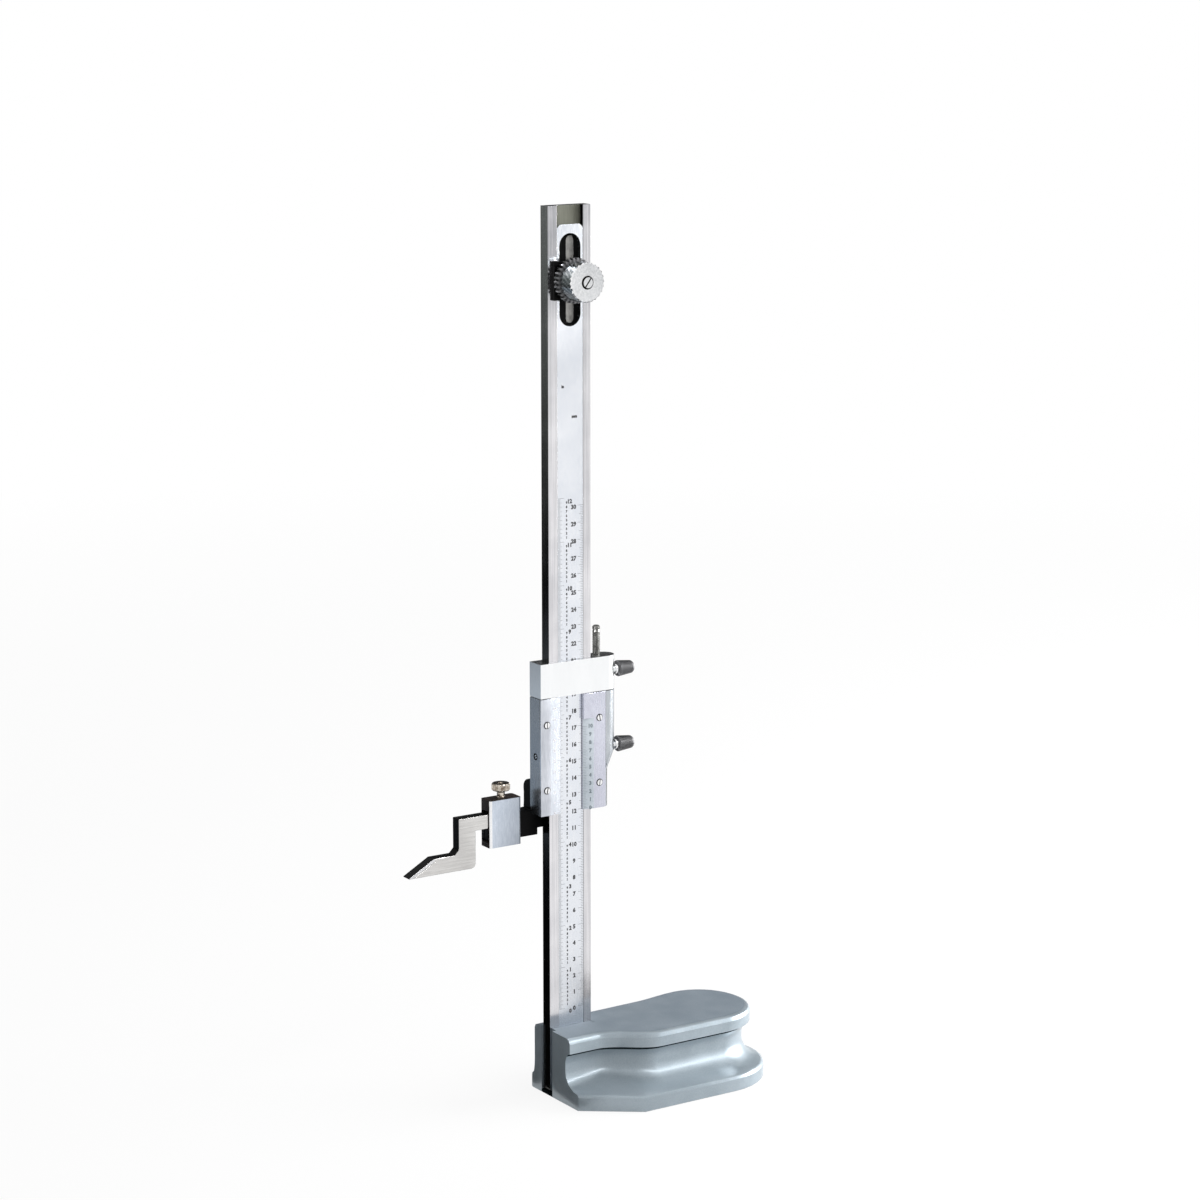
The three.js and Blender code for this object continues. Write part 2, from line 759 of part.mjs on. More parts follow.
// Plan of the slider or the feed box: square at the left, round at the right.
function bodyPlan(rightCentre) {
  const plan = [[sliderLeft, sliderBackY], [sliderLeft, sliderFrontY]];
  const sides = 12;
  for (let i = 0; i <= sides; i += 1) {
    const angle = Math.PI * (i / sides - 0.5);
    plan.push([rightCentre + endRadius * Math.cos(angle), endMiddleY + endRadius * Math.sin(angle)]);
  }
  return plan;
}

function shoePocket(middle) {
  const grow = slideGap;
  return box(
    columnRight, columnRight + shoeThickness + 2 * grow,
    -clampBack - shoeHalfDepth - grow, -clampBack + shoeHalfDepth + grow,
    middle - shoeHalfHeight - grow, middle + shoeHalfHeight + grow,
  );
}

function clampBore(middle) {
  return rod('X', -clampBack, middle, clampScrewRadius + slideGap, columnRight, bossEnd + overrun, 16);
}

// Slider frame: a C that wraps the column from behind, with the clamp screw's boss on its right.
function sliderGeometry() {
  const low = columnRight + rightReach;
  const high = columnRight + bossReach;
  const body = loft([
    lifted(bodyPlan(low), 0),
    lifted(bodyPlan(low), bossBottom - bossTaper),
    lifted(bodyPlan(high), bossBottom),
    lifted(bodyPlan(high), sliderHeight),
  ]);
  const above = sliderHeight + overrun;
  const passage = box(sliderPassageLeft, passageRight, passageFrontY, passageBackY, -overrun, above);
  const window = box(
    channelLeft - lipSetback, channelRight + lipSetback,
    sliderFrontY - overrun, passageFrontY + overrun, -overrun, above,
  );
  const plateBed = box(
    sliderLeft - overrun, metricPlateRight + slideGap, sliderFrontY - overrun, plateBackY, -overrun, above,
  );
  const plateHoles = plateScrewPlaces().map(([x, z]) => (
    rod(
      'Y', z, x, plateScrewRadius + slideGap,
      plateBackY - overrun, plateBackY + plateScrewLength + slideGap, 10,
    )
  ));
  const gibHole = rod(
    'X', 0, gibScrewHeight, gibScrewRadius + slideGap, sliderLeft - overrun, sliderPassageLeft + overrun, 14,
  );
  const feedHole = rod(
    'Z', feedScrewX, feedScrewY, feedScrewRadius + slideGap,
    sliderHeight - feedScrewSeat - slideGap, above, 16,
  );
  const jawHoles = jawScrewPlaces().map(([x, z]) => (
    rod(
      'Y', z, x, jawScrewRadius + slideGap,
      sliderBackY - jawScrewDepth - slideGap, sliderBackY + overrun, 12,
    )
  ));
  return carved(
    body, passage, window, plateBed, gibHole, feedHole, shoePocket(clampHeight), clampBore(clampHeight),
    ...plateHoles, ...jawHoles,
  );
}

function gibGeometry() {
  return box(
    -columnRight - slideGap - gibThickness, -columnRight - slideGap,
    landY + gibSideMargin, backY - gibSideMargin, gibEndMargin, sliderHeight - gibEndMargin,
  );
}

function gibScrewGeometry() {
  const tip = -columnRight - slideGap - gibThickness;
  const middle = (sliderLeft + tip) / 2;
  const face = sliderLeft + slideGap;
  return slottedScrew('X', 0, gibScrewHeight, gibScrewRadius, gibScrewRadius, face, middle, tip, Math.PI / 4);
}

function plateScrewPlaces() {
  const left = sliderLeft + plateScrewInset;
  const right = metricPlateRight - plateScrewInset;
  return [left, right].flatMap((x) => [plateScrewLow, plateScrewHigh].map((z) => [x, z]));
}

// A vernier plate seen from above runs from its outer end to the bevelled edge over the scale.
function platePiece(outer, edge, bevel, low, high) {
  const inward = Math.sign(edge - outer);
  const edgeBackY = scaleFrontY - runGap;
  const lipEnd = edge - inward * (plateOverlap + lipSetback - slideGap);
  const outline = [
    [outer, sliderFrontY], [edge - inward * bevel, sliderFrontY],
    [edge, edgeBackY - plateEdge], [edge, edgeBackY], [outer, edgeBackY],
  ];
  const rebate = box(
    Math.min(outer - inward * overrun, lipEnd), Math.max(outer - inward * overrun, lipEnd),
    plateBackY, edgeBackY + overrun, low - overrun, high + overrun,
  );
  return carved(prism('Z', outline, low, high), rebate);
}

function screwHoles(side) {
  return plateScrewPlaces().filter(([x]) => Math.sign(x) === side).map(([x, z]) => (
    rod('Y', z, x, plateScrewRadius + slideGap, sliderFrontY - overrun, plateBackY + overrun, 10)
  ));
}

function inchPlateGeometry() {
  return carved(platePiece(sliderLeft, inchPlateEdge, inchBevel, 0, sliderHeight), ...screwHoles(-1));
}

// The metric plate is bevelled up to its topmost graduations and square above them.
function metricPlateGeometry() {
  const bevelled = platePiece(metricPlateRight, metricPlateEdge, metricBevel, 0, metricBevelTop);
  const square = platePiece(metricPlateRight, metricPlateEdge, 0, metricBevelTop, sliderHeight);
  return carved(joined(bevelled, square), ...screwHoles(1));
}

function plateScrewGeometry([x, z], spin) {
  return slottedScrew(
    'Y', z, x, plateScrewHeadRadius, plateScrewRadius,
    sliderFrontY - plateScrewHeadHeight, sliderFrontY, plateBackY + plateScrewLength, spin,
  );
}

function jawScrewPlaces() {
  return [sliderLeft + jawScrewLeftInset, jawScrewReach].flatMap((x) => (
    [jawScrewLow, jawScrewHigh].map((z) => [x, z])
  ));
}

// Jaw plate on the slider's back, with the stepped arm that carries the scriber.
function jawGeometry() {
  const baseClear = -(reading - vernierZero + scaleZero) + baseHeight + reading + runGap;
  const stepX = baseEnd - jawEndRelief;
  const outline = [
    [jawRight, baseClear], [jawRight, jawTop], [sliderLeft, jawTop],
    [sliderLeft, armTop], [armLeft, armTop], [armLeft, tongueTop],
    [armLeft - armTongueLength, tongueTop], [armLeft - armTongueLength, -jawDrop],
    [stepX, -jawDrop], [stepX, baseClear],
  ];
  const back = sliderBackY + jawThickness;
  const plate = platePrism(outline, sliderBackY, back);
  const crownSteps = 5;
  const crown = Array.from({ length: crownSteps + 1 }, (_, i) => {
    const angle = Math.PI / 2 * i / crownSteps;
    return [sliderBackY + jawThickness * Math.cos(angle), jawTop - jawCrown * (1 - Math.sin(angle))];
  });
  const crownCut = [
    [back + overrun, crown[0][1]], ...crown,
    [sliderBackY, jawTop + overrun], [back + overrun, jawTop + overrun],
  ];
  const aboveCrown = prism('X', crownCut, sliderLeft - overrun, jawRight + overrun);
  const holes = jawScrewPlaces().flatMap(([x, z]) => [
    rod('Y', z, x, jawScrewRadius + slideGap, sliderBackY - overrun, back + overrun, 12),
    rod('Y', z, x, jawScrewHeadRadius + slideGap, back - jawScrewHeadHeight - slideGap, back + overrun, 16),
  ]);
  return carved(plate, aboveCrown, ...holes);
}

function jawScrewGeometry(place) {
  const back = sliderBackY + jawThickness;
  const tip = sliderBackY - jawScrewDepth;
  return capScrew(place, jawScrewRadius, jawScrewHeadRadius, tip, back - jawScrewHeadHeight, back);
}

// Feed screw standing in the slider's top, with a bevelled free end.
function feedScrewGeometry() {
  const outline = (radius) => circle(feedScrewX, feedScrewY, radius, 16);
  return turned('Z', [
    [outline(feedScrewRadius), sliderHeight - feedScrewSeat],
    [outline(feedScrewRadius), feedScrewTop - feedScrewBevel],
    [outline(feedScrewRadius - feedScrewBevel), feedScrewTop],
  ]);
}

// A clamp screw along X: a plain shank up to the shoe and a bright collar against the knob.
function clampScrewGeometry() {
  const start = columnRight + shoeThickness + 3 * slideGap;
  const collarStart = bossEnd + slideGap;
  return joined(
    rod('X', -clampBack, 0, clampScrewRadius, start, collarStart + slideGap, 14),
    rod('X', -clampBack, 0, clampCollarRadius, collarStart, collarStart + clampCollarLength, 24),
  );
}

function clampKnobGeometry() {
  const start = bossEnd + slideGap + clampCollarLength;
  const outline = (radius) => fluted(-clampBack, 0, radius, clampKnobFlutes);
  return turned('X', [
    [outline(clampKnobRadius - fluteDepth), start],
    [outline(clampKnobRadius), start + clampKnobBevel],
    [outline(clampKnobTipRadius), start + clampKnobLength - clampKnobBevel],
    [outline(clampKnobTipRadius - clampKnobBevel), start + clampKnobLength],
  ]);
}

function shoeGeometry() {
  return box(
    columnRight + slideGap, columnRight + slideGap + shoeThickness,
    -clampBack - shoeHalfDepth, -clampBack + shoeHalfDepth, -shoeHalfHeight, shoeHalfHeight,
  );
}

// Feed box: closed at the front, open behind at the window where the nut is turned.
function feedBoxGeometry() {
  const body = prism('Z', bodyPlan(columnRight + bossReach), 0, boxHeight);
  const passage = box(
    -columnRight - slideGap, passageRight, passageFrontY, passageBackY, -overrun, boxHeight + overrun,
  );
  const reach = nutRadius + runGap;
  const nutWindow = joined(
    rod('Z', feedScrewX, feedScrewY, reach, nutBelow - nutPlay, nutBelow + nutHeight + nutPlay, 32),
    box(
      feedScrewX - reach, feedScrewX + reach, feedScrewY, sliderBackY + overrun,
      nutBelow - nutPlay, nutBelow + nutHeight + nutPlay,
    ),
  );
  const feedHole = rod(
    'Z', feedScrewX, feedScrewY, feedScrewRadius + slideGap,
    -overrun, boxHeight + overrun, 16,
  );
  return carved(body, passage, nutWindow, feedHole, shoePocket(boxClampHeight), clampBore(boxClampHeight));
}

function nutGeometry() {
  const outline = (radius) => fluted(feedScrewX, feedScrewY, radius, nutFlutes);
  const nut = turned('Z', [
    [outline(nutRadius - fluteDepth), 0],
    [outline(nutRadius), fluteDepth],
    [outline(nutRadius), nutHeight - fluteDepth],
    [outline(nutRadius - fluteDepth), nutHeight],
  ]);
  const bore = rod(
    'Z', feedScrewX, feedScrewY, feedScrewRadius + slideGap,
    -overrun, nutHeight + overrun, 16,
  );
  return carved(nut, bore);
}

function roundedRect(x0, x1, y0, y1, radius) {
  const outline = [];
  const corners = [
    [x1 - radius, y0 + radius], [x1 - radius, y1 - radius],
    [x0 + radius, y1 - radius], [x0 + radius, y0 + radius],
  ];
  const cornerSteps = 4;
  for (const [quarter, [x, y]] of corners.entries()) {
    for (let i = 0; i <= cornerSteps; i += 1) {
      const angle = Math.PI / 2 * (quarter - 1 + i / cornerSteps);
      outline.push([x + radius * Math.cos(angle), y + radius * Math.sin(angle)]);
    }
  }
  return outline;
}

// Scriber clamp: a thick strap round the arm's tongue and the scriber's shank.
function clampFrameGeometry() {
  const frontY = jawMiddleY - clampFrameDepth / 2;
  const strap = prism(
    'Z', roundedRect(frameLeft, frameRight, frontY, frontY + clampFrameDepth, clampFrameCorner),
    frameBottom, frameTop,
  );
  const half = jawThickness / 2 + slideGap;
  const opening = box(
    frameLeft - overrun, frameRight + overrun,
    jawMiddleY - half, jawMiddleY + half, -jawDrop - slideGap, frameCeiling,
  );
  const thread = rod(
    'Z', thumbX, jawMiddleY, thumbThreadRadius + slideGap, frameCeiling - overrun, frameTop + overrun, 16,
  );
  return carved(strap, opening, thread);
}

function padGeometry() {
  const half = scriberThickness / 2;
  const top = frameCeiling - slideGap;
  return box(
    thumbX - padWidth / 2, thumbX + padWidth / 2,
    jawMiddleY - half, jawMiddleY + half, top - padThickness, top,
  );
}

function thumbScrewGeometry() {
  const neckTop = frameTop + thumbNeckHeight;
  const outline = (radius) => fluted(thumbX, jawMiddleY, radius, thumbFlutes);
  const head = turned('Z', [
    [outline(thumbHeadRadius - fluteDepth), neckTop],
    [outline(thumbHeadRadius), neckTop + fluteDepth],
    [outline(thumbHeadRadius), neckTop + thumbHeadHeight - fluteDepth],
    [outline(thumbHeadRadius - fluteDepth), neckTop + thumbHeadHeight],
  ]);
  return joined(
    head,
    rod('Z', thumbX, jawMiddleY, thumbNeckRadius, frameTop + slideGap, neckTop + slideGap, 20),
    rod('Z', thumbX, jawMiddleY, thumbThreadRadius, frameCeiling, frameTop + 2 * slideGap, 16),
  );
}

// The scriber's outline and its carbide tip share the line that the tip is brazed on.
function scriberPoints() {
  const stemRight = frameLeft - stemGap;
  const stemLeft = stemRight - stemWidth;
  const sole = tongueTop - scriberDrop;
  const footTop = sole + footHeight;
  const tipX = stemLeft - footReach;
  const bevelTop = [tipX + tipRun, footTop];
  const bevelEnd = [tipX, sole + tipBlunt];
  const run = bevelTop[0] - bevelEnd[0];
  const rise = bevelTop[1] - bevelEnd[1];
  const length = Math.hypot(run, rise);
  const seatTop = [bevelTop[0] + tipThickness * rise / length, bevelTop[1] - tipThickness * run / length];
  const seatEnd = [seatTop[0] - (seatTop[1] - sole) * run / rise, sole];
  return { stemRight, stemLeft, sole, footTop, tipX, bevelTop, bevelEnd, seatTop, seatEnd };
}

function scriberGeometry() {
  const at = scriberPoints();
  const corner = [0, 0.5, 1].map((share) => {
    const angle = Math.PI / 2 * share;
    return [
      at.stemRight - soleCorner * (1 - Math.cos(angle)),
      at.sole + soleCorner * (1 - Math.sin(angle)),
    ];
  });
  const outline = [
    [armLeft - shankEndGap, tongueTop], [armLeft - shankEndGap, shankTop],
    [at.stemLeft, shankTop], [at.stemLeft, at.footTop + footFillet],
    [at.stemLeft - footFillet, at.footTop], at.bevelTop, at.seatTop, at.seatEnd,
    ...corner.reverse(), [at.stemRight, tongueTop],
  ];
  const half = scriberThickness / 2;
  return platePrism(outline, jawMiddleY - half, jawMiddleY + half);
}

function tipGeometry() {
  const at = scriberPoints();
  const outline = [at.bevelTop, at.bevelEnd, [at.tipX, at.sole], at.seatEnd, at.seatTop];
  const half = scriberThickness / 2;
  return platePrism(outline, jawMiddleY - half, jawMiddleY + half);
}

// The assembly. What slides together stands in one group.
const gauge = new THREE.Group();
piece(gauge, 'base', baseGeometry(), paintedIron());
piece(gauge, 'column', columnGeometry(), groundSteel());
piece(gauge, 'column_clamp_plate', keyGeometry(), paintedIron());
[-keyScrewReach, keyScrewReach].forEach((x, i) => {
  piece(gauge, `column_screw_${i + 1}`, keyScrewGeometry(x), blackedSteel());
});
const guideStrip = platePrism(stripOutline(), floorY, floorY + stripThickness);
piece(gauge, 'guide_strip', guideStrip, groundSteel());
piece(gauge, 'adjusting_block', blockGeometry(), blackedSteel());
blockScrewPlaces().forEach((place, i) => {
  piece(gauge, `adjusting_block_screw_${i + 1}`, blockScrewGeometry(place, i), blackedSteel());
});
piece(gauge, 'main_scale', scaleGeometry(), satinChrome());
piece(gauge, 'adjusting_wheel', wheelGeometry(), blackedSteel());
piece(gauge, 'pinion_arbor', arborGeometry(), groundSteel());
piece(gauge, 'scale_lock_knob', lockKnobGeometry(), brightSteel());
piece(gauge, 'scale_lock_screw', lockScrewGeometry(), brightSteel());

const slider = new THREE.Group();
slider.position.z = sliderBottom;
gauge.add(slider);
piece(slider, 'slider_frame', sliderGeometry(), satinChrome());
piece(slider, 'slider_gib', gibGeometry(), brassMetal());
piece(slider, 'gib_screw', gibScrewGeometry(), brightSteel());
piece(slider, 'inch_vernier_plate', inchPlateGeometry(), satinChrome());
piece(slider, 'metric_vernier_plate', metricPlateGeometry(), satinChrome());
plateScrewPlaces().forEach((place, i) => {
  piece(slider, `vernier_screw_${i + 1}`, plateScrewGeometry(place, i), brightSteel());
});
piece(slider, 'jaw', jawGeometry(), blackedSteel());
jawScrewPlaces().forEach((place, i) => {
  piece(slider, `jaw_screw_${i + 1}`, jawScrewGeometry(place), blackedSteel());
});
piece(slider, 'feed_screw', feedScrewGeometry(), groundSteel());
piece(slider, 'slider_clamp_shoe', shoeGeometry(), brassMetal()).position.z = clampHeight;
piece(slider, 'slider_clamp_screw', clampScrewGeometry(), brightSteel()).position.z = clampHeight;
piece(slider, 'slider_clamp_knob', clampKnobGeometry(), blackedSteel()).position.z = clampHeight;
piece(slider, 'scriber_clamp', clampFrameGeometry(), satinChrome());
piece(slider, 'clamp_pad', padGeometry(), brassMetal());
piece(slider, 'thumb_screw', thumbScrewGeometry(), brightSteel());
piece(slider, 'scriber', scriberGeometry(), brightSteel());
piece(slider, 'scriber_tip', tipGeometry(), carbideMetal());

const feedBox = new THREE.Group();
feedBox.position.z = sliderHeight + boxGap;
slider.add(feedBox);
piece(feedBox, 'feed_box', feedBoxGeometry(), satinChrome());
piece(feedBox, 'feed_clamp_shoe', shoeGeometry(), brassMetal()).position.z = boxClampHeight;
piece(feedBox, 'feed_clamp_screw', clampScrewGeometry(), brightSteel()).position.z = boxClampHeight;
piece(feedBox, 'feed_clamp_knob', clampKnobGeometry(), blackedSteel()).position.z = boxClampHeight;
piece(feedBox, 'feed_nut', nutGeometry(), brassMetal()).position.z = nutBelow;

export default gauge;
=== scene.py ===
import math

import bmesh
import bpy
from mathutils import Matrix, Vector


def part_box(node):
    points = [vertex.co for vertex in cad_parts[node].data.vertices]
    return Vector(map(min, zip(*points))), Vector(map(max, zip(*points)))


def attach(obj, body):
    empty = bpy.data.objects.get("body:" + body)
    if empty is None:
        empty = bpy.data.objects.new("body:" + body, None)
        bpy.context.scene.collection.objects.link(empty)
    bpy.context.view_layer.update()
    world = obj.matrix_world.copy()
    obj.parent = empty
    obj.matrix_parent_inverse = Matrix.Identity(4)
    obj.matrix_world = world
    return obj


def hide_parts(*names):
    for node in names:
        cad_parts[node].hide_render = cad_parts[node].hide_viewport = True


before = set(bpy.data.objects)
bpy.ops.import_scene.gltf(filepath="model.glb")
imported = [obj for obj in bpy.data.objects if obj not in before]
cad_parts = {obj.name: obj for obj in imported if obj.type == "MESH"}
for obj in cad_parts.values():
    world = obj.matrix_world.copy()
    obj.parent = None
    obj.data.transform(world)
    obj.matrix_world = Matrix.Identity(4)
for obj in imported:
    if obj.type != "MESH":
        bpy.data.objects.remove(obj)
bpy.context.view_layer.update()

MM = 0.001

# Camera: a long lens looks slightly down at the scale from the reader's left.
# The gauge fills the height of a square picture.
camera_place = Vector((-1.00476, -1.57508, 0.67559))
camera_aim = Vector((0.01629, -0.01063, 0.29592))
bpy.ops.object.camera_add(location=camera_place)
camera = bpy.context.object
camera.rotation_euler = (camera_aim - camera_place).to_track_quat("-Z", "Y").to_euler()
camera.data.lens = 99.277
camera.data.sensor_width = 36
bpy.context.scene.camera = camera
bpy.context.scene.view_settings.view_transform = "Standard"

# Studio: a pale table top that fades into a white room, with one large lamp at the right.
# A strip lamp overhead draws the light lines. Dark and grey cards that only polished surfaces see
# stand and lie round the gauge, as in a tent for silverware.
room_light = 0.32
floor_reach = 5.0
floor_grey = 0.83
floor_white = 0.9
fade_starts, fade_ends = 0.7, 2.2


def background_node(tree, color, strength):
    node = tree.nodes.new("ShaderNodeBackground")
    node.inputs["Color"].default_value = (*color, 1)
    node.inputs["Strength"].default_value = strength
    return node


def seen_directly(tree):
    """1 for what the lens, a polished surface or glass sees, 0 for light that falls on something dull."""
    path = tree.nodes.new("ShaderNodeLightPath")
    seen = path.outputs["Is Camera Ray"]
    for kind in ("Is Glossy Ray", "Is Transmission Ray"):
        either = tree.nodes.new("ShaderNodeMath")
        either.operation = "MAXIMUM"
        tree.links.new(seen, either.inputs[0])
        tree.links.new(path.outputs[kind], either.inputs[1])
        seen = either.outputs[0]
    return seen


world = bpy.data.worlds.new("white_room")
bpy.context.scene.world = world
world.use_nodes = True
room = world.node_tree
room.nodes.clear()
room_mix = room.nodes.new("ShaderNodeMixShader")
room_out = room.nodes.new("ShaderNodeOutputWorld")
room.links.new(seen_directly(room), room_mix.inputs[0])
room.links.new(background_node(room, (1.0, 1.0, 1.0), room_light).outputs[0], room_mix.inputs[1])
room.links.new(background_node(room, (1.0, 1.0, 1.0), 1.0).outputs[0], room_mix.inputs[2])
room.links.new(room_mix.outputs[0], room_out.inputs[0])

bpy.ops.object.select_all(action="DESELECT")
bpy.ops.mesh.primitive_circle_add(vertices=96, radius=floor_reach, fill_type="NGON")
floor = bpy.context.object
floor.name = "table_top"
table_paint = bpy.data.materials.new("table_paint")
table_paint.use_nodes = True
table = table_paint.node_tree
table.nodes.clear()
table_diffuse = table.nodes.new("ShaderNodeBsdfDiffuse")
table_diffuse.inputs["Color"].default_value = (floor_grey, floor_grey, floor_grey, 1)
table_white = table.nodes.new("ShaderNodeEmission")
table_near = table.nodes.new("ShaderNodeMixShader")
table_share = table.nodes.new("ShaderNodeMath")
table_share.operation = "MULTIPLY"
table_share.inputs[1].default_value = floor_white
table_far = table.nodes.new("ShaderNodeMixShader")
table_place = table.nodes.new("ShaderNodeTexCoord")
table_distance = table.nodes.new("ShaderNodeVectorMath")
table_distance.operation = "LENGTH"
table_fade = table.nodes.new("ShaderNodeMapRange")
table_fade.inputs["From Min"].default_value = fade_starts
table_fade.inputs["From Max"].default_value = fade_ends
table_out = table.nodes.new("ShaderNodeOutputMaterial")
table.links.new(seen_directly(table), table_share.inputs[0])
table.links.new(table_share.outputs[0], table_near.inputs[0])
table.links.new(table_diffuse.outputs[0], table_near.inputs[1])
table.links.new(table_white.outputs[0], table_near.inputs[2])
table.links.new(table_place.outputs["Object"], table_distance.inputs[0])
table.links.new(table_distance.outputs["Value"], table_fade.inputs["Value"])
table.links.new(table_fade.outputs[0], table_far.inputs[0])
table.links.new(table_near.outputs[0], table_far.inputs[1])
table.links.new(table_white.outputs[0], table_far.inputs[2])
table.links.new(table_far.outputs[0], table_out.inputs[0])
floor.data.materials.append(table_paint)


def card(name, width, height, place, tilt, swing, low, high=None):
    """A card that only polished surfaces see, shaded evenly from its lower to its upper edge.

    It is tilted up from the table and then swung about the vertical, by an angle in degrees.
    """
    bpy.ops.object.select_all(action="DESELECT")
    bpy.ops.mesh.primitive_plane_add(size=1, location=place, rotation=(tilt, 0, math.radians(swing)))
    plane = bpy.context.object
    plane.name = name
    plane.scale = (width, height, 1)
    paint = bpy.data.materials.new(name + "_paint")
    paint.use_nodes = True
    tree = paint.node_tree
    shader = tree.nodes["Principled BSDF"]
    shader.inputs["Base Color"].default_value = (0, 0, 0, 1)
    shader.inputs["Roughness"].default_value = 1
    shader.inputs["Specular IOR Level"].default_value = 0
    shader.inputs["Emission Strength"].default_value = 1
    across = tree.nodes.new("ShaderNodeTexCoord")
    upward = tree.nodes.new("ShaderNodeSeparateXYZ")
    share = tree.nodes.new("ShaderNodeMapRange")
    share.inputs["From Min"].default_value = -0.5
    share.inputs["From Max"].default_value = 0.5
    shade = tree.nodes.new("ShaderNodeMix")
    shade.data_type = "RGBA"
    shade.inputs[6].default_value = (*low, 1)
    shade.inputs[7].default_value = (*(high or low), 1)
    tree.links.new(across.outputs["Object"], upward.inputs[0])
    tree.links.new(upward.outputs["Y"], share.inputs["Value"])
    tree.links.new(share.outputs[0], shade.inputs[0])
    tree.links.new(shade.outputs[2], shader.inputs["Emission Color"])
    plane.data.materials.append(paint)
    plane.visible_camera = False
    plane.visible_diffuse = False
    plane.visible_shadow = False
    plane.visible_transmission = False
    plane.visible_volume_scatter = False


flat, upright = 0, math.pi / 2
card_lift = 0.0008
black_card = (0.012, 0.012, 0.012)
card("card_behind_left", 1.1, 0.8, (-0.62, 0.92, 0.43), upright, 33, black_card, (0.24, 0.26, 0.255))
card("card_on_table_left", 0.5, 0.57, (-0.268, 0.205, card_lift), flat, 0, black_card)
card("card_far_left", 0.8, 0.61, (-0.55, 0.795, card_lift), flat, 0, (0.36, 0.43, 0.51), (0.44, 0.48, 0.53))
card("card_behind_right", 1.5, 0.75, (0.72, 1.0, 0.6), upright, -30, (0.05, 0.05, 0.052))
card("card_beyond_right", 0.9, 1.3, (0.62, 1.0, card_lift + 0.0001), flat, -33, black_card)
# A narrow dark card along the base's front is a painted shadow, seen only in the flange's polished face.
card("shadow_card_in_front", 0.095, 0.015, (0.1015, -0.1376, card_lift), flat, -57.6, (0.06, 0.06, 0.065))
card("card_front_far", 1.2, 0.26, (2.0, -3.15, 0.19), upright, 57, (0.6, 0.61, 0.62))

lamp_aim = Vector((0, 0, 0.2))
lamps = [  # name, place, width, height, watts, and whether polished surfaces see it
    ("key_lamp", (1.62, -0.5, 0.6), 1.2, 1.2, 70.0, True),
    ("front_lamp", (0.7, -1.7, 0.9), 1.3, 1.3, 6.0, False),
    ("top_lamp", (0.3, 0.1, 2.0), 1.4, 1.4, 1.0, False),
    ("strip_lamp", (0.35, -0.85, 1.1), 1.1, 0.16, 6.5, True),
]
for name, place, width, height, power, glints in lamps:
    bpy.ops.object.light_add(type="AREA", location=place)
    lamp = bpy.context.object
    lamp.name = name
    lamp.data.shape = "RECTANGLE"
    lamp.data.size = width
    lamp.data.size_y = height
    lamp.data.energy = power
    lamp.visible_glossy = glints
    lamp.rotation_euler = (lamp_aim - Vector(place)).to_track_quat("-Z", "Y").to_euler()

# Base: a grey iron casting with a finger groove under a rolled lip, rounded at its free end.
# It is sprayed with a blue-grey metallic enamel that dries with a faint orange peel, and its top is flat
# paint. The fold under the lip and the slot of the column are painted near-black as painted shade.
blotch_share = 0.45
tone_span = (0.38, 0.62)
rough_span = (0.36, 0.64)
crest_span = (0.52, 0.6)
coat_roughness = 0.12
relief_strength = 0.6


def add_node(tree, kind, **sockets):
    node = tree.nodes.new(kind)
    for socket, value in sockets.items():
        node.inputs[socket.replace("_", " ")].default_value = value
    return node


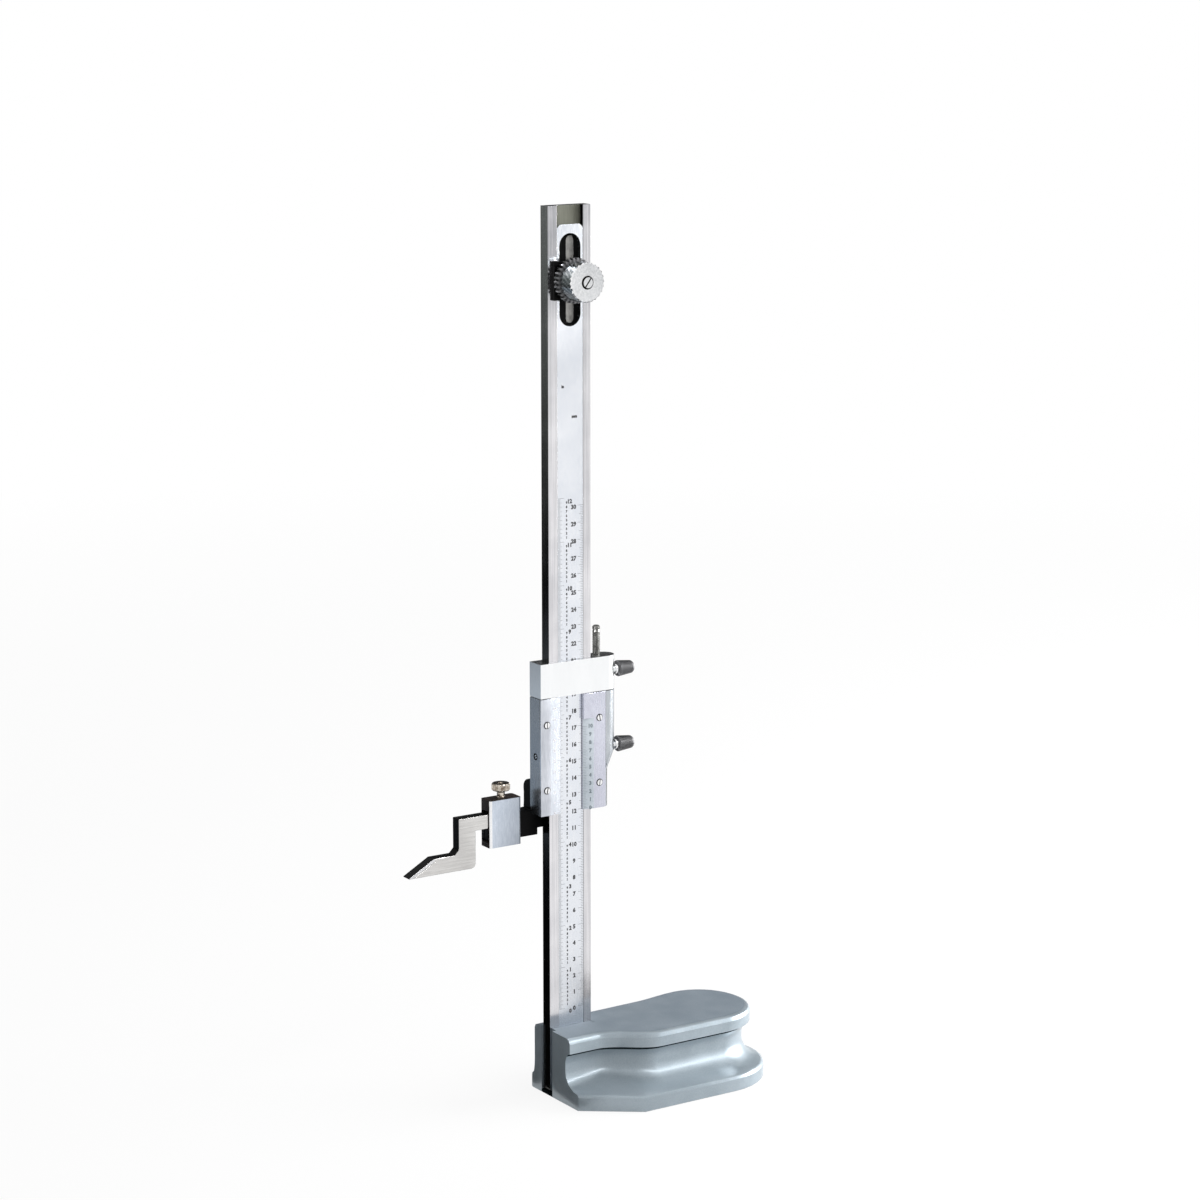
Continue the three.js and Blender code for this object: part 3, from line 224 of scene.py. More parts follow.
def finish(
    name, tones, metallic, roughness, grain, relief=0.0, blotch=40.0, crest_tone=None, coat=0.0, shine=0.5,
    fade=None,
):
    """A metal or paint: two tones and two roughnesses mixed by a grain that can be drawn out along an axis.

    Grain and blotches are given per metre, the height of the relief in metres. The crests of knurling, found
    by the mesh's pointiness, can have a tone of their own. A fade paints shade: it gives a direction, where
    along it the finish starts and stops growing darker, and the share of its tone that is left.
    """
    material = bpy.data.materials.new(name)
    material.use_nodes = True
    tree = material.node_tree
    links = tree.links
    shader = tree.nodes["Principled BSDF"]
    shader.inputs["Metallic"].default_value = metallic
    shader.inputs["Specular IOR Level"].default_value = shine
    shader.inputs["Coat Weight"].default_value = coat
    shader.inputs["Coat Roughness"].default_value = coat_roughness
    place = tree.nodes.new("ShaderNodeTexCoord")
    stretch = add_node(tree, "ShaderNodeMapping", Scale=grain)
    fine = add_node(tree, "ShaderNodeTexNoise", Scale=1.0, Detail=4.0, Roughness=0.6)
    broad = add_node(tree, "ShaderNodeTexNoise", Scale=blotch, Detail=3.0, Roughness=0.5)
    both = tree.nodes.new("ShaderNodeMix")
    both.data_type = "FLOAT"
    both.inputs[0].default_value = blotch_share
    links.new(place.outputs["Object"], stretch.inputs["Vector"])
    links.new(stretch.outputs["Vector"], fine.inputs["Vector"])
    links.new(place.outputs["Object"], broad.inputs["Vector"])
    links.new(fine.outputs["Fac"], both.inputs[2])
    links.new(broad.outputs["Fac"], both.inputs[3])
    tone = tree.nodes.new("ShaderNodeValToRGB")
    for n in (0, 1):
        tone.color_ramp.elements[n].position = tone_span[n]
        tone.color_ramp.elements[n].color = (*tones[n], 1)
    links.new(both.outputs[0], tone.inputs["Fac"])
    color = tone.outputs["Color"]
    if crest_tone:
        ridge = tree.nodes.new("ShaderNodeNewGeometry")
        on_crest = add_node(tree, "ShaderNodeMapRange", From_Min=crest_span[0], From_Max=crest_span[1])
        crest_mix = tree.nodes.new("ShaderNodeMix")
        crest_mix.data_type = "RGBA"
        crest_mix.inputs[7].default_value = (*crest_tone, 1)
        links.new(ridge.outputs["Pointiness"], on_crest.inputs["Value"])
        links.new(on_crest.outputs[0], crest_mix.inputs[0])
        links.new(color, crest_mix.inputs[6])
        color = crest_mix.outputs[2]
    if fade:
        way, start, stop, left_over = fade
        along = tree.nodes.new("ShaderNodeVectorMath")
        along.operation = "DOT_PRODUCT"
        along.inputs[1].default_value = way
        share = add_node(
            tree, "ShaderNodeMapRange", From_Min=start, From_Max=stop, To_Min=1.0, To_Max=left_over
        )
        dimmed = tree.nodes.new("ShaderNodeVectorMath")
        dimmed.operation = "SCALE"
        links.new(place.outputs["Object"], along.inputs[0])
        links.new(along.outputs["Value"], share.inputs["Value"])
        links.new(color, dimmed.inputs[0])
        links.new(share.outputs[0], dimmed.inputs["Scale"])
        color = dimmed.outputs[0]
    links.new(color, shader.inputs["Base Color"])
    rough = add_node(
        tree, "ShaderNodeMapRange", From_Min=rough_span[0], From_Max=rough_span[1],
        To_Min=roughness[0], To_Max=roughness[1],
    )
    links.new(both.outputs[0], rough.inputs["Value"])
    links.new(rough.outputs[0], shader.inputs["Roughness"])
    if relief:
        bump = add_node(tree, "ShaderNodeBump", Strength=relief_strength, Distance=relief)
        links.new(fine.outputs["Fac"], bump.inputs["Height"])
        links.new(bump.outputs["Normal"], shader.inputs["Normal"])
    return material


def only(piece):
    bpy.ops.object.select_all(action="DESELECT")
    piece.select_set(True)
    bpy.context.view_layer.objects.active = piece


def keep(piece, body, slot, *stands_for):
    """Fixes a finished piece to the body that carries it and hides the solids that it stands for."""
    if stands_for:
        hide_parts(*stands_for)
    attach(piece, body)
    return piece


def soften(piece, angle):
    """Smooth shading that leaves flat faces flat."""
    only(piece)
    bpy.ops.object.shade_smooth_by_angle(angle=math.radians(angle))
    weight = piece.modifiers.new("flat_faces", "WEIGHTED_NORMAL")
    weight.keep_sharp = True
    bpy.ops.object.modifier_apply(modifier=weight.name)


def pick(piece, wanted):
    """Selects the faces that pass a test, and nothing else."""
    bpy.ops.mesh.select_all(action="DESELECT")
    mesh = bmesh.from_edit_mesh(piece.data)
    for face in mesh.faces:
        if wanted(face):
            face.select_set(True)
    bmesh.update_edit_mesh(piece.data)


weld_reach = 0.002 * MM
flat_turn = math.radians(0.4)
sharp_turn = math.radians(38)
wide_edge = 0.5
side_share = 0.5


def dressed(node, body, slot, material, edge=0.0, shortest=2.5, smooth=35.0, sides=None):
    """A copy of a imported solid: welded, with its longer sharp edges broken by a small round.

    The round's width and the shortest edge that gets one are in millimetres. Faces that point neither to the
    reader nor away can have a finish of their own.
    """
    piece = bpy.data.objects.new(node + "_finished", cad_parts[node].data.copy())
    bpy.context.scene.collection.objects.link(piece)
    piece.data.materials.clear()
    piece.data.materials.append(material)
    only(piece)
    bpy.ops.object.mode_set(mode="EDIT")
    bpy.ops.mesh.select_all(action="SELECT")
    bpy.ops.mesh.remove_doubles(threshold=weld_reach)
    bpy.ops.mesh.dissolve_limited(angle_limit=flat_turn)
    if edge:
        bpy.ops.mesh.select_all(action="DESELECT")
        mesh = bmesh.from_edit_mesh(piece.data)
        for line in mesh.edges:
            long_enough = len(line.link_faces) == 2 and line.calc_length() > shortest * MM
            if long_enough and line.calc_face_angle() > sharp_turn:
                line.select_set(True)
        bmesh.update_edit_mesh(piece.data)
        segments = 2 if edge < wide_edge else 4
        bpy.ops.mesh.bevel(offset=edge * MM, segments=segments, profile=0.5, clamp_overlap=True)
    bpy.ops.object.mode_set(mode="OBJECT")
    if sides:
        piece.data.materials.append(sides)
        for face in piece.data.polygons:
            if abs(face.normal.y) < side_share:
                face.material_index = 1
    soften(piece, smooth)
    return keep(piece, body, slot, node)


enamel = finish(
    "blue_grey_enamel", ((0.25, 0.30, 0.335), (0.305, 0.355, 0.395)), 0.4, (0.3, 0.42),
    (1300, 1300, 1300), relief=0.02 * MM, blotch=70, coat=0.3,
)
flat_paint = finish(
    "flat_blue_grey_paint", ((0.145, 0.178, 0.21), (0.195, 0.23, 0.262)), 0.1, (0.6, 0.72),
    (1300, 1300, 1300), relief=0.02 * MM, blotch=70, shine=0.3,
)
# Painted shade: a near-black without shine for the fold under the lip and the slot of the column.
painted_fold_shade = finish(
    "shade_in_the_folds", ((0.004, 0.007, 0.008), (0.016, 0.024, 0.027)), 0.0, (0.5, 0.65),
    (900, 900, 900), shine=0.0,
)
base = dressed("base", "stand", "painted_iron", enamel, smooth=32)
base.data.materials.append(flat_paint)
base.data.materials.append(painted_fold_shade)
hair = 0.1 * MM
level_face, square_face, facing = 0.98, 0.99, 0.9  # least shares of a face's normal along an axis
fold_slope, sole_slope = -0.55, -0.5
fold_height = 25 * MM
base_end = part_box("base")[0].x
base_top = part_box("base")[1].z
column_low, column_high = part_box("column")
slot_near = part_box("column_clamp_plate")[0].y
only(base)
bpy.ops.object.mode_set(mode="EDIT")
for edge_of_slot in (slot_near, column_high.y):
    pick(base, lambda face: face.normal.x < -square_face and face.calc_center_median().x < base_end + hair)
    bpy.ops.mesh.bisect(plane_co=(0, edge_of_slot, 0), plane_no=(0, 1, 0))
bpy.ops.object.mode_set(mode="OBJECT")
# The lip's underside and the slot's faces get the painted shade.
for face in base.data.polygons:
    x, y, z = face.center
    in_slot = slot_near < y < column_high.y and x < column_high.x and z < column_low.z + hair
    in_fold = face.normal.z < fold_slope and z > fold_height
    if face.normal.z > level_face and z > base_top - hair:
        face.material_index = 1
    elif in_fold or (in_slot and face.normal.z > sole_slope):
        face.material_index = 2

# Column: a flat bar of steel with one wide channel, ground all over after hardening.
# The lands that guide the slider are bright, and the channel's floor keeps a grey, dull grind. Its walls,
# the floor behind the slot of the scale and the foot are painted near-black as painted shade. The left side
# is painted darker from the top down to mid height and dark below, a painted shade.
ground_steel = finish(
    "ground_steel", ((0.59, 0.585, 0.608), (0.775, 0.765, 0.784)), 1.0, (0.1, 0.2), (900, 900, 14),
    relief=0.002 * MM,
)
dull_steel = finish(
    "dull_ground_floor", ((0.077, 0.079, 0.063), (0.12, 0.122, 0.098)), 0.6, (0.45, 0.6), (2200, 2200, 60),
    relief=0.006 * MM,
)
# Painted shade: near-black for the channel's walls, the floor behind the scale's slot and the column's foot.
painted_shade_black = finish(
    "channel_painted_shade", ((0.002, 0.002, 0.002), (0.008, 0.008, 0.008)), 0.0, (0.5, 0.65), (900, 900, 60),
    shine=0.0,
)
downward = (0, 0, -1)
# Painted shade on the left side: darker from 500 mm down to 310 mm, and dark below.
side_shade_top, side_shade_foot, side_shade_share = 500 * MM, 310 * MM, 0.09
side_steel = finish(
    "ground_side_painted_shade", ((0.62, 0.625, 0.62), (0.80, 0.80, 0.79)), 1.0, (0.12, 0.24), (900, 900, 14),
    relief=0.002 * MM, fade=(downward, -side_shade_top, -side_shade_foot, side_shade_share),
)
column = dressed("column", "stand", "ground_steel", ground_steel, edge=0.4, shortest=6)
for other_finish in (dull_steel, painted_shade_black, side_steel):
    column.data.materials.append(other_finish)
scale_low, scale_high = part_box("main_scale")
channel_floor = scale_high.y
slot_middle = (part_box("guide_strip")[0].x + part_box("guide_strip")[1].x) / 2
slot_reach = 6.9 * MM
# Heights of the painted shade on the channel's floor behind the scale's slot.
slot_shade_low, slot_shade_high = 448.5 * MM, 507 * MM


def on_channel_floor(face):
    return face.normal.y < -facing and abs(face.calc_center_median().y - channel_floor) < hair


only(column)
bpy.ops.object.mode_set(mode="EDIT")
for place, way in (
    ((slot_middle - slot_reach, 0, 0), (1, 0, 0)),
    ((slot_middle + slot_reach, 0, 0), (1, 0, 0)),
    ((0, 0, slot_shade_low), (0, 0, 1)),
    ((0, 0, slot_shade_high), (0, 0, 1)),
):
    pick(column, on_channel_floor)
    bpy.ops.mesh.bisect(plane_co=place, plane_no=way)
bpy.ops.object.mode_set(mode="OBJECT")
# The slot patch, the channel walls and the foot get the painted shade, and the left side its shaded steel.
for face in column.data.polygons:
    x, y, z = face.center
    in_channel = scale_low.x - MM < x < scale_high.x + MM
    if face.normal.y < -facing and abs(y - channel_floor) < hair:
        in_slot = abs(x - slot_middle) < slot_reach and slot_shade_low < z < slot_shade_high
        face.material_index = 2 if in_slot else 1
    elif (in_channel and abs(face.normal.x) > facing and y < channel_floor) or z < column_low.z + MM:
        face.material_index = 2
    elif face.normal.x < -facing and x < column_low.x + MM:
        face.material_index = 3

# Clamp plate and its cap screws: they hold the column in the slot of the base.
# The plate has the flat paint of the base's top, and the screws are blacked.
# Black oxide for the blacked parts; on the scriber's edges the same black is painted shade.
black_oxide_and_shade = finish(
    "black_oxide_and_shade", ((0.001, 0.001, 0.0012), (0.004, 0.004, 0.0045)), 0.0, (0.3, 0.45), (900, 900, 900),
    relief=0.006 * MM, shine=0.06,
)
dressed("column_clamp_plate", "stand", "painted_iron", flat_paint, edge=0.25)
for node in ("column_screw_1", "column_screw_2"):
    dressed(node, "stand", "blacked_steel", black_oxide_and_shade, edge=0.12, shortest=1.2)

# Guide strip: soft grey steel let into the channel's floor behind the slot of the scale.
# It is ground a hair lower than the floor, so that the scale slides over it without touching.
strip_steel = finish(
    "grey_strip_steel", ((0.10, 0.10, 0.095), (0.22, 0.215, 0.205)), 0.5, (0.35, 0.5), (420, 420, 260),
)
strip_sunk = 0.03 * MM
guide_strip = dressed("guide_strip", "stand", "ground_steel", strip_steel, edge=0.4, shortest=1)
only(guide_strip)
bpy.ops.object.mode_set(mode="EDIT")
pick(guide_strip, lambda face: face.normal.y < -square_face)
bpy.ops.transform.translate(value=(0, strip_sunk, 0))
bpy.ops.object.mode_set(mode="OBJECT")

# Main scale: a plate of hardened steel under satin chrome, painted a little brighter at its upper end as a
# painted sheen, with engraved lines filled in black. Inches and their tenths stand at the left, millimetres
# at the right, figured every ten.
# Painted sheen: the chrome is brighter above 480 mm and darker below 430 mm.
sheen_top, sheen_foot, sheen_share = 480 * MM, 430 * MM, 0.84
satin_chrome = finish(
    "satin_chrome", ((0.865, 0.90, 0.965), (0.935, 0.955, 0.995)), 1.0, (0.16, 0.26), (1700, 1700, 240),
    relief=0.002 * MM, fade=(downward, -sheen_top, -sheen_foot, sheen_share),
)
ink_grain = (400, 400, 400)
ink = finish("engraving_ink", ((0.004, 0.004, 0.006), (0.014, 0.014, 0.016)), 0.0, (0.5, 0.7), ink_grain)
faint_ink = finish("faded_ink", ((0.34, 0.34, 0.36), (0.46, 0.46, 0.48)), 0.0, (0.5, 0.7), ink_grain)
grey_ink = finish("grey_ink", ((0.10, 0.13, 0.15), (0.18, 0.21, 0.23)), 0.0, (0.5, 0.7), ink_grain)
dressed("main_scale", "scale", "satin_chrome", satin_chrome, edge=0.08, shortest=5)

scale_zero = 51.4
scale_front = scale_low.y / MM
scale_left = scale_low.x / MM
scale_right = scale_high.x / MM
line_width = 0.15
line_proud = 0.015
line_depth = 0.05
digit_share = 0.7  # of the size of a font, in its figures' height
inch = 25.4


def mark_row(count, pitch, x0, x1, surface, first, turn=0.0):
    """One mark, drawn from x0 to x1 at the first height, repeated upwards."""
    bpy.ops.object.select_all(action="DESELECT")
    middle = surface - line_proud + line_depth / 2
    bpy.ops.mesh.primitive_cube_add(
        size=1, location=((x0 + x1) / 2 * MM, middle * MM, first * MM), rotation=(0, 0, turn)
    )
    row = bpy.context.object
    row.scale = (abs(x1 - x0) * MM, line_depth * MM, line_width * MM)
    bpy.ops.object.transform_apply(location=True, rotation=True, scale=True)
    repeat = row.modifiers.new("repeat", "ARRAY")
    repeat.count = count
    repeat.use_relative_offset = False
    repeat.use_constant_offset = True
    repeat.constant_offset_displace = (0, 0, pitch * MM)
    bpy.ops.object.modifier_apply(modifier=repeat.name)
    return row


def figures(entries, turn=0.0, bold=0.15):
    """Cut figures, each given as text, x, surface, height of its middle and size, and all as bold."""
    made = []
    for text, x, surface, z, size in entries:
        middle = surface - line_proud + line_depth / 2
        bpy.ops.object.text_add(location=(x * MM, middle * MM, z * MM), rotation=(math.pi / 2, 0, turn))
        figure = bpy.context.object
        figure.data.body = text
        figure.data.size = size / digit_share * MM
        figure.data.align_x = "CENTER"
        figure.data.align_y = "CENTER"
        figure.data.extrude = line_depth / 2 * MM
        figure.data.offset = bold * MM
        figure.data.resolution_u = 2
        made.append(figure)
    bpy.ops.object.select_all(action="DESELECT")
    for figure in made:
        figure.select_set(True)
    bpy.context.view_layer.objects.active = made[0]
    bpy.ops.object.convert(target="MESH")
    bpy.ops.object.transform_apply(location=True, rotation=True, scale=True)
    return made


def as_one(name, parts, body, color=ink):
    """Joins lines or figures into one piece and fixes it to its body."""
    bpy.ops.object.select_all(action="DESELECT")
    for part in parts:
        part.select_set(True)
    bpy.context.view_layer.objects.active = parts[0]
    bpy.ops.object.join()
    piece = bpy.context.object
    piece.name = name
    piece.data.materials.clear()
    piece.data.materials.append(color)
    return keep(piece, body, "satin_chrome")


line_gap = 0.15
left_end, right_end = scale_left + line_gap, scale_right - line_gap
scale_rows = []
for count, pitch, reach in ((301, 1, 1.6), (61, 5, 2.6), (31, 10, 3.6)):
    scale_rows.append(mark_row(count, pitch, right_end - reach, right_end, scale_front, scale_zero))
for count, pitch, reach in ((481, inch / 40, 1.6), (121, inch / 10, 2.8), (13, inch, 4.0)):
    scale_rows.append(mark_row(count, pitch, left_end, left_end + reach, scale_front, scale_zero))
as_one("scale_lines", scale_rows, "scale")

centimetre_x, centimetre_drop, centimetre_size = 2.75, 0.9, 2.4
inch_x, inch_drop, inch_size = 0.05, 2.2, 2.3
tenth_x, tenth_drop, tenth_size = -2.0, 0.2, 1.35
unit_size = 1.6
centimetres = [
    (str(n), centimetre_x, scale_front, scale_zero + 10 * n - centimetre_drop, centimetre_size)
    for n in range(31)
]
inches = [(str(n), inch_x, scale_front, scale_zero + inch * n - inch_drop, inch_size) for n in range(13)]
tenths = [
    (str(n % 10), tenth_x, scale_front, scale_zero + inch * n / 10 - tenth_drop, tenth_size)
    for n in range(1, 120) if n % 10
]
units = [("in", -4.4, scale_front, 420.4, unit_size), ("mm", 3.4, scale_front, 402.9, unit_size)]
scale_text = figures(centimetres + inches + units, bold=0.19) + figures(tenths, bold=0.12)
as_one("scale_numbers", scale_text, "scale")

# Adjusting block and wheel: blacked steel, screwed over the scale near its upper end.
# The wheel turns a pinion in the slot and so shifts the scale to its zero.


def place_piece(piece, place, axis):
    """Lays a piece that was made upright along its own axis and fixes its place in its mesh."""
    piece.rotation_euler = {
        "Z": (0, 0, 0), "-Y": (math.pi / 2, 0, 0), "X": (0, math.pi / 2, 0), "-X": (0, -math.pi / 2, 0),
    }[axis]
    piece.location = [value * MM for value in place]
    only(piece)
    bpy.ops.object.transform_apply(location=True, rotation=True, scale=True)


level_slack = 0.01


def turned_piece(
    name, sides, stages, place, axis, material, rough=None, beyond=0.0, depth=0.0, crossed=False, run=1,
    smooth=28,
):
    """A turned piece drawn up stage by stage, each a radius and a level in millimetres.

    It is knurled to a depth between two rough levels, beyond a radius. Every other run of points is pushed
    in, row by row in turn for crossed knurling, or all rows alike for straight knurling.
    """
    bpy.ops.object.select_all(action="DESELECT")
    radius, level = stages[0]
    bpy.ops.mesh.primitive_circle_add(vertices=sides, radius=radius * MM, fill_type="NGON")
    piece = bpy.context.object
    piece.name = name
    bpy.ops.object.mode_set(mode="EDIT")
    bpy.ops.mesh.select_all(action="SELECT")
    bpy.ops.transform.translate(value=(0, 0, level * MM))
    for next_radius, next_level in stages[1:]:
        bpy.ops.mesh.extrude_region_move(TRANSFORM_OT_translate={"value": (0, 0, (next_level - level) * MM)})
        grow = next_radius / radius
        bpy.ops.transform.resize(value=(grow, grow, 1), center_override=(0, 0, next_level * MM))
        radius, level = next_radius, next_level
    if rough:
        low, high = rough

        def in_band(height):
            return low - level_slack < height < high + level_slack

        mesh = bmesh.from_edit_mesh(piece.data)
        bpy.ops.mesh.select_all(action="DESELECT")
        rows = sorted({round(z, 3) for r, z in stages if in_band(z) and r > beyond})
        for point in mesh.verts:
            height = point.co.z / MM
            if not (in_band(height) and point.co.xy.length > beyond * MM):
                continue
            step = round(math.atan2(point.co.y, point.co.x) / (2 * math.pi / sides))
            row = min(range(len(rows)), key=lambda n: abs(rows[n] - height)) if crossed else 0
            point.select_set((step // run + row) % 2 == 1)
        bmesh.update_edit_mesh(piece.data)
        widest = max(r for r, z in stages if in_band(z))
        shrink = 1 - depth / widest
        bpy.ops.transform.resize(value=(shrink, shrink, 1), center_override=(0, 0, 0))
    bpy.ops.mesh.select_all(action="SELECT")
    bpy.ops.mesh.normals_make_consistent(inside=False)
    bpy.ops.object.mode_set(mode="OBJECT")
    piece.data.materials.append(material)
    place_piece(piece, place, axis)
    soften(piece, smooth)
    return piece


def band(radius, low, high, rows, end_radius=None):
    """The stages of an even or tapered band with a number of rows."""
    growth = (end_radius or radius) - radius
    return [(radius + growth * n / rows, low + (high - low) * n / rows) for n in range(rows + 1)]


def middle_of(node):
    low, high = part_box(node)
    return [value / MM for value in (low + high) / 2]


knurled_black = finish(
    "knurled_black", ((0.002, 0.002, 0.0022), (0.009, 0.009, 0.01)), 0.2, (0.28, 0.42), (700, 700, 700),
    crest_tone=(0.24, 0.24, 0.25), shine=0.2,
)
worn_crest = finish("worn_crest", ((0.30, 0.31, 0.32), (0.62, 0.63, 0.64)), 1.0, (0.15, 0.3), (500, 500, 500))
dressed("adjusting_block", "stand", "blacked_steel", black_oxide_and_shade, edge=0.25)
for n in (1, 2, 3, 4):
    dressed(f"adjusting_block_screw_{n}", "stand", "blacked_steel", black_oxide_and_shade, edge=0.06, shortest=0.4)
wheel_x, _, wheel_z = middle_of("adjusting_wheel")
wheel_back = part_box("adjusting_wheel")[1].y / MM
wheel_bore, wheel_shoulder, wheel_radius, wheel_thick = 3.2, 12.0, 12.95, 4.29
wheel_flank = (0.6, 3.7)
crest_share, crest_radius = 0.1, 12.85
wheel = turned_piece(
    "adjusting_wheel_knurled", 120,
    [(wheel_bore, 0), (wheel_shoulder, 0)] + band(wheel_radius, *wheel_flank, 2)
    + [(wheel_shoulder, wheel_thick), (wheel_bore, wheel_thick)],
    (wheel_x, wheel_back, wheel_z), "-Y", knurled_black, rough=(0.5, 3.8), beyond=12.5, depth=0.8, run=2,
)
wheel.data.materials.append(worn_crest)
for face in wheel.data.polygons:
    from_axis = math.hypot(face.center.x / MM - wheel_x, face.center.z / MM - wheel_z)
    if abs(face.normal.y) < crest_share and from_axis > crest_radius:
        face.material_index = 1
keep(wheel, "adjust_wheel", "blacked_steel", "adjusting_wheel")
dressed("pinion_arbor", "adjust_wheel", "ground_steel", ground_steel, smooth=28)

# Lock knob: turned steel with coarse crossed knurling, faced bright, on a slotted screw.
# The screw's head lies in a well in the knob's face and has a dark gap round it; the well and the gap are
# painted black as painted shade.
bright_steel = finish(
    "bright_turned_steel", ((0.80, 0.81, 0.82), (0.93, 0.93, 0.94)), 1.0, (0.1, 0.2), (900, 900, 900),
    relief=0.002 * MM,
)
# Painted shade: black for the gaps round screw heads, their slots and the lock knob's well.
gap_shade_black = finish(
    "gap_shade_black", ((0.002, 0.002, 0.002), (0.006, 0.006, 0.006)), 0.0, (0.6, 0.8), (500, 500, 500), shine=0.1,
)
# The lock knob's knurled flank: a darker tone with light crests, a painted shade and highlight of the knurl.
knurled_bright = finish(
    "knurled_bright", ((0.16, 0.18, 0.19), (0.46, 0.50, 0.52)), 1.0, (0.15, 0.3), (500, 500, 500),
    crest_tone=(0.88, 0.92, 0.94),
)
gap_lift = 0.03
head_sides, head_smooth = 32, 30
head_top, slot_core = 0.9, 0.4


def slotted_head(name, radius, height, place, axis, turn, slot, deep, ring, dome=0.25):
    """A round cheese head with a sawn slot, and round it the dark gap of its counterbore. The gap and the
    slot are painted black as painted shade.

    Lengths are in millimetres and the slot's turn in degrees. The slot's depth and the rounded top's are
    shares of the head's height.
    """
    bpy.ops.object.select_all(action="DESELECT")
    bpy.ops.mesh.primitive_circle_add(vertices=head_sides, radius=(radius + ring) * MM, fill_type="NGON")
    head = bpy.context.object
    head.name = name
    head.data.materials.append(gap_shade_black)
    head.data.materials.append(bright_steel)
    bpy.ops.object.mode_set(mode="EDIT")
    bpy.ops.mesh.select_all(action="SELECT")
    bpy.ops.mesh.extrude_region_move(TRANSFORM_OT_translate={"value": (0, 0, gap_lift * MM)})
    bpy.ops.mesh.inset(thickness=ring * MM)
    head.active_material_index = 1
    bpy.ops.object.material_slot_assign()
    bpy.ops.mesh.extrude_region_move(TRANSFORM_OT_translate={"value": (0, 0, height * (1 - dome) * MM)})
    bpy.ops.mesh.extrude_region_move(TRANSFORM_OT_translate={"value": (0, 0, height * dome * MM)})
    shrink = 1 - dome * height / radius
    bpy.ops.transform.resize(value=(shrink, shrink, 1), center_override=(0, 0, 0))
    across = Vector((math.cos(math.radians(turn)), math.sin(math.radians(turn)), 0))

    def on_top(face):
        return face.normal.z > facing and face.calc_center_median().z > height * head_top * MM

    def in_slot(face):
        return on_top(face) and abs(face.calc_center_median().dot(across)) < slot * slot_core * MM

    for side in (-1, 1):
        pick(head, on_top)
        bpy.ops.mesh.bisect(plane_co=across * (side * slot / 2 * MM), plane_no=across)
    pick(head, in_slot)
    bpy.ops.mesh.extrude_region_move(TRANSFORM_OT_translate={"value": (0, 0, -deep * height * MM)})
    head.active_material_index = 0
    bpy.ops.object.material_slot_assign()
    bpy.ops.mesh.select_all(action="SELECT")
    bpy.ops.mesh.normals_make_consistent(inside=False)
    bpy.ops.object.mode_set(mode="OBJECT")
    place_piece(head, place, axis)
    soften(head, head_smooth)
    return head


knob_front, knob_back = (corner.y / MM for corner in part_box("scale_lock_knob"))
knob_bore, knob_foot, knob_radius, knob_rim, knob_thick = 2.2, 10.5, 11.45, 10.7, 10.89
knob_flank = (0.6, 10.2)
well_radius, well_foot, well_floor = 3.9, 3.85, 10.5
well_depth, screw_sunk = 0.6, 0.4
flank_axis, flank_start = 10, 0.75
lock_knob = turned_piece(
    "scale_lock_knob_knurled", 48,
    [(knob_bore, 0), (knob_foot, 0)] + band(knob_radius, *knob_flank, 4)
    + [(knob_rim, knob_thick), (well_radius, knob_thick), (well_foot, well_floor), (knob_bore, well_floor)],
    (wheel_x, knob_back, wheel_z), "-Y", bright_steel, rough=(0.5, 10.3), beyond=11, depth=0.85,
    crossed=True, smooth=12,
)
lock_knob.data.materials.append(gap_shade_black)
lock_knob.data.materials.append(knurled_bright)
for face in lock_knob.data.polygons:
    from_front = face.center.y / MM - knob_front
    from_axis = math.hypot(face.center.x / MM - wheel_x, face.center.z / MM - wheel_z)
    # The well round the screw's head gets the painted shade.
    if from_front < well_depth and from_axis < well_radius:
        face.material_index = 1
    # The knurled flank gets the painted shade and highlight.
    elif from_axis > flank_axis and from_front > flank_start:
        face.material_index = 2
keep(lock_knob, "lock_knob", "bright_steel", "scale_lock_knob")
lock_screw = slotted_head(
    "scale_lock_screw_head", radius=3.3, height=1.1, place=(wheel_x, knob_front + screw_sunk, wheel_z),
    axis="-Y", turn=-38, slot=0.9, deep=0.8, ring=0.45,
)
keep(lock_screw, "lock_knob", "bright_steel", "scale_lock_screw")

# Slider: a C-shaped block of steel, milled, ground and satin chromed, on a brass gib with one screw.
# Its two vernier plates are bevelled down to the scale and held by slotted screws. Their chrome differs:
# the inch plate's face is matt, and the metric plate's bevel is frosted.
frame_chrome = finish(
    "frame_chrome", ((0.41, 0.435, 0.465), (0.49, 0.515, 0.545)), 1.0, (0.2, 0.3), (1500, 1500, 60),
    relief=0.002 * MM,
)
plate_chrome = finish(
    "plate_chrome", ((0.63, 0.665, 0.73), (0.73, 0.765, 0.82)), 1.0, (0.16, 0.26), (1700, 1700, 240),
    relief=0.002 * MM,
)
matte_chrome = finish(
    "matte_chrome", ((0.34, 0.355, 0.39), (0.44, 0.455, 0.49)), 0.9, (0.4, 0.52), (1500, 1500, 240),
    relief=0.003 * MM,
)
lavender_chrome = finish(
    "lavender_chrome", ((0.53, 0.54, 0.625), (0.61, 0.62, 0.70)), 1.0, (0.22, 0.32), (1500, 1500, 240),
    relief=0.002 * MM,
)
frosted_bevel = finish(
    "frosted_bevel", ((0.37, 0.41, 0.45), (0.47, 0.51, 0.55)), 0.7, (0.42, 0.55), (900, 900, 900),
    relief=0.002 * MM,
)
dressed("slider_frame", "slider", "satin_chrome", frame_chrome, edge=0.35, shortest=5)
brass = finish("plain_brass", ((0.50, 0.36, 0.13), (0.66, 0.48, 0.20)), 1.0, (0.25, 0.4), (800, 800, 200))
dressed("slider_gib", "slider", "brass", brass, edge=0.15)
gib_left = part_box("gib_screw")[0].x / MM
gib_head_foot = gib_left + 0.85
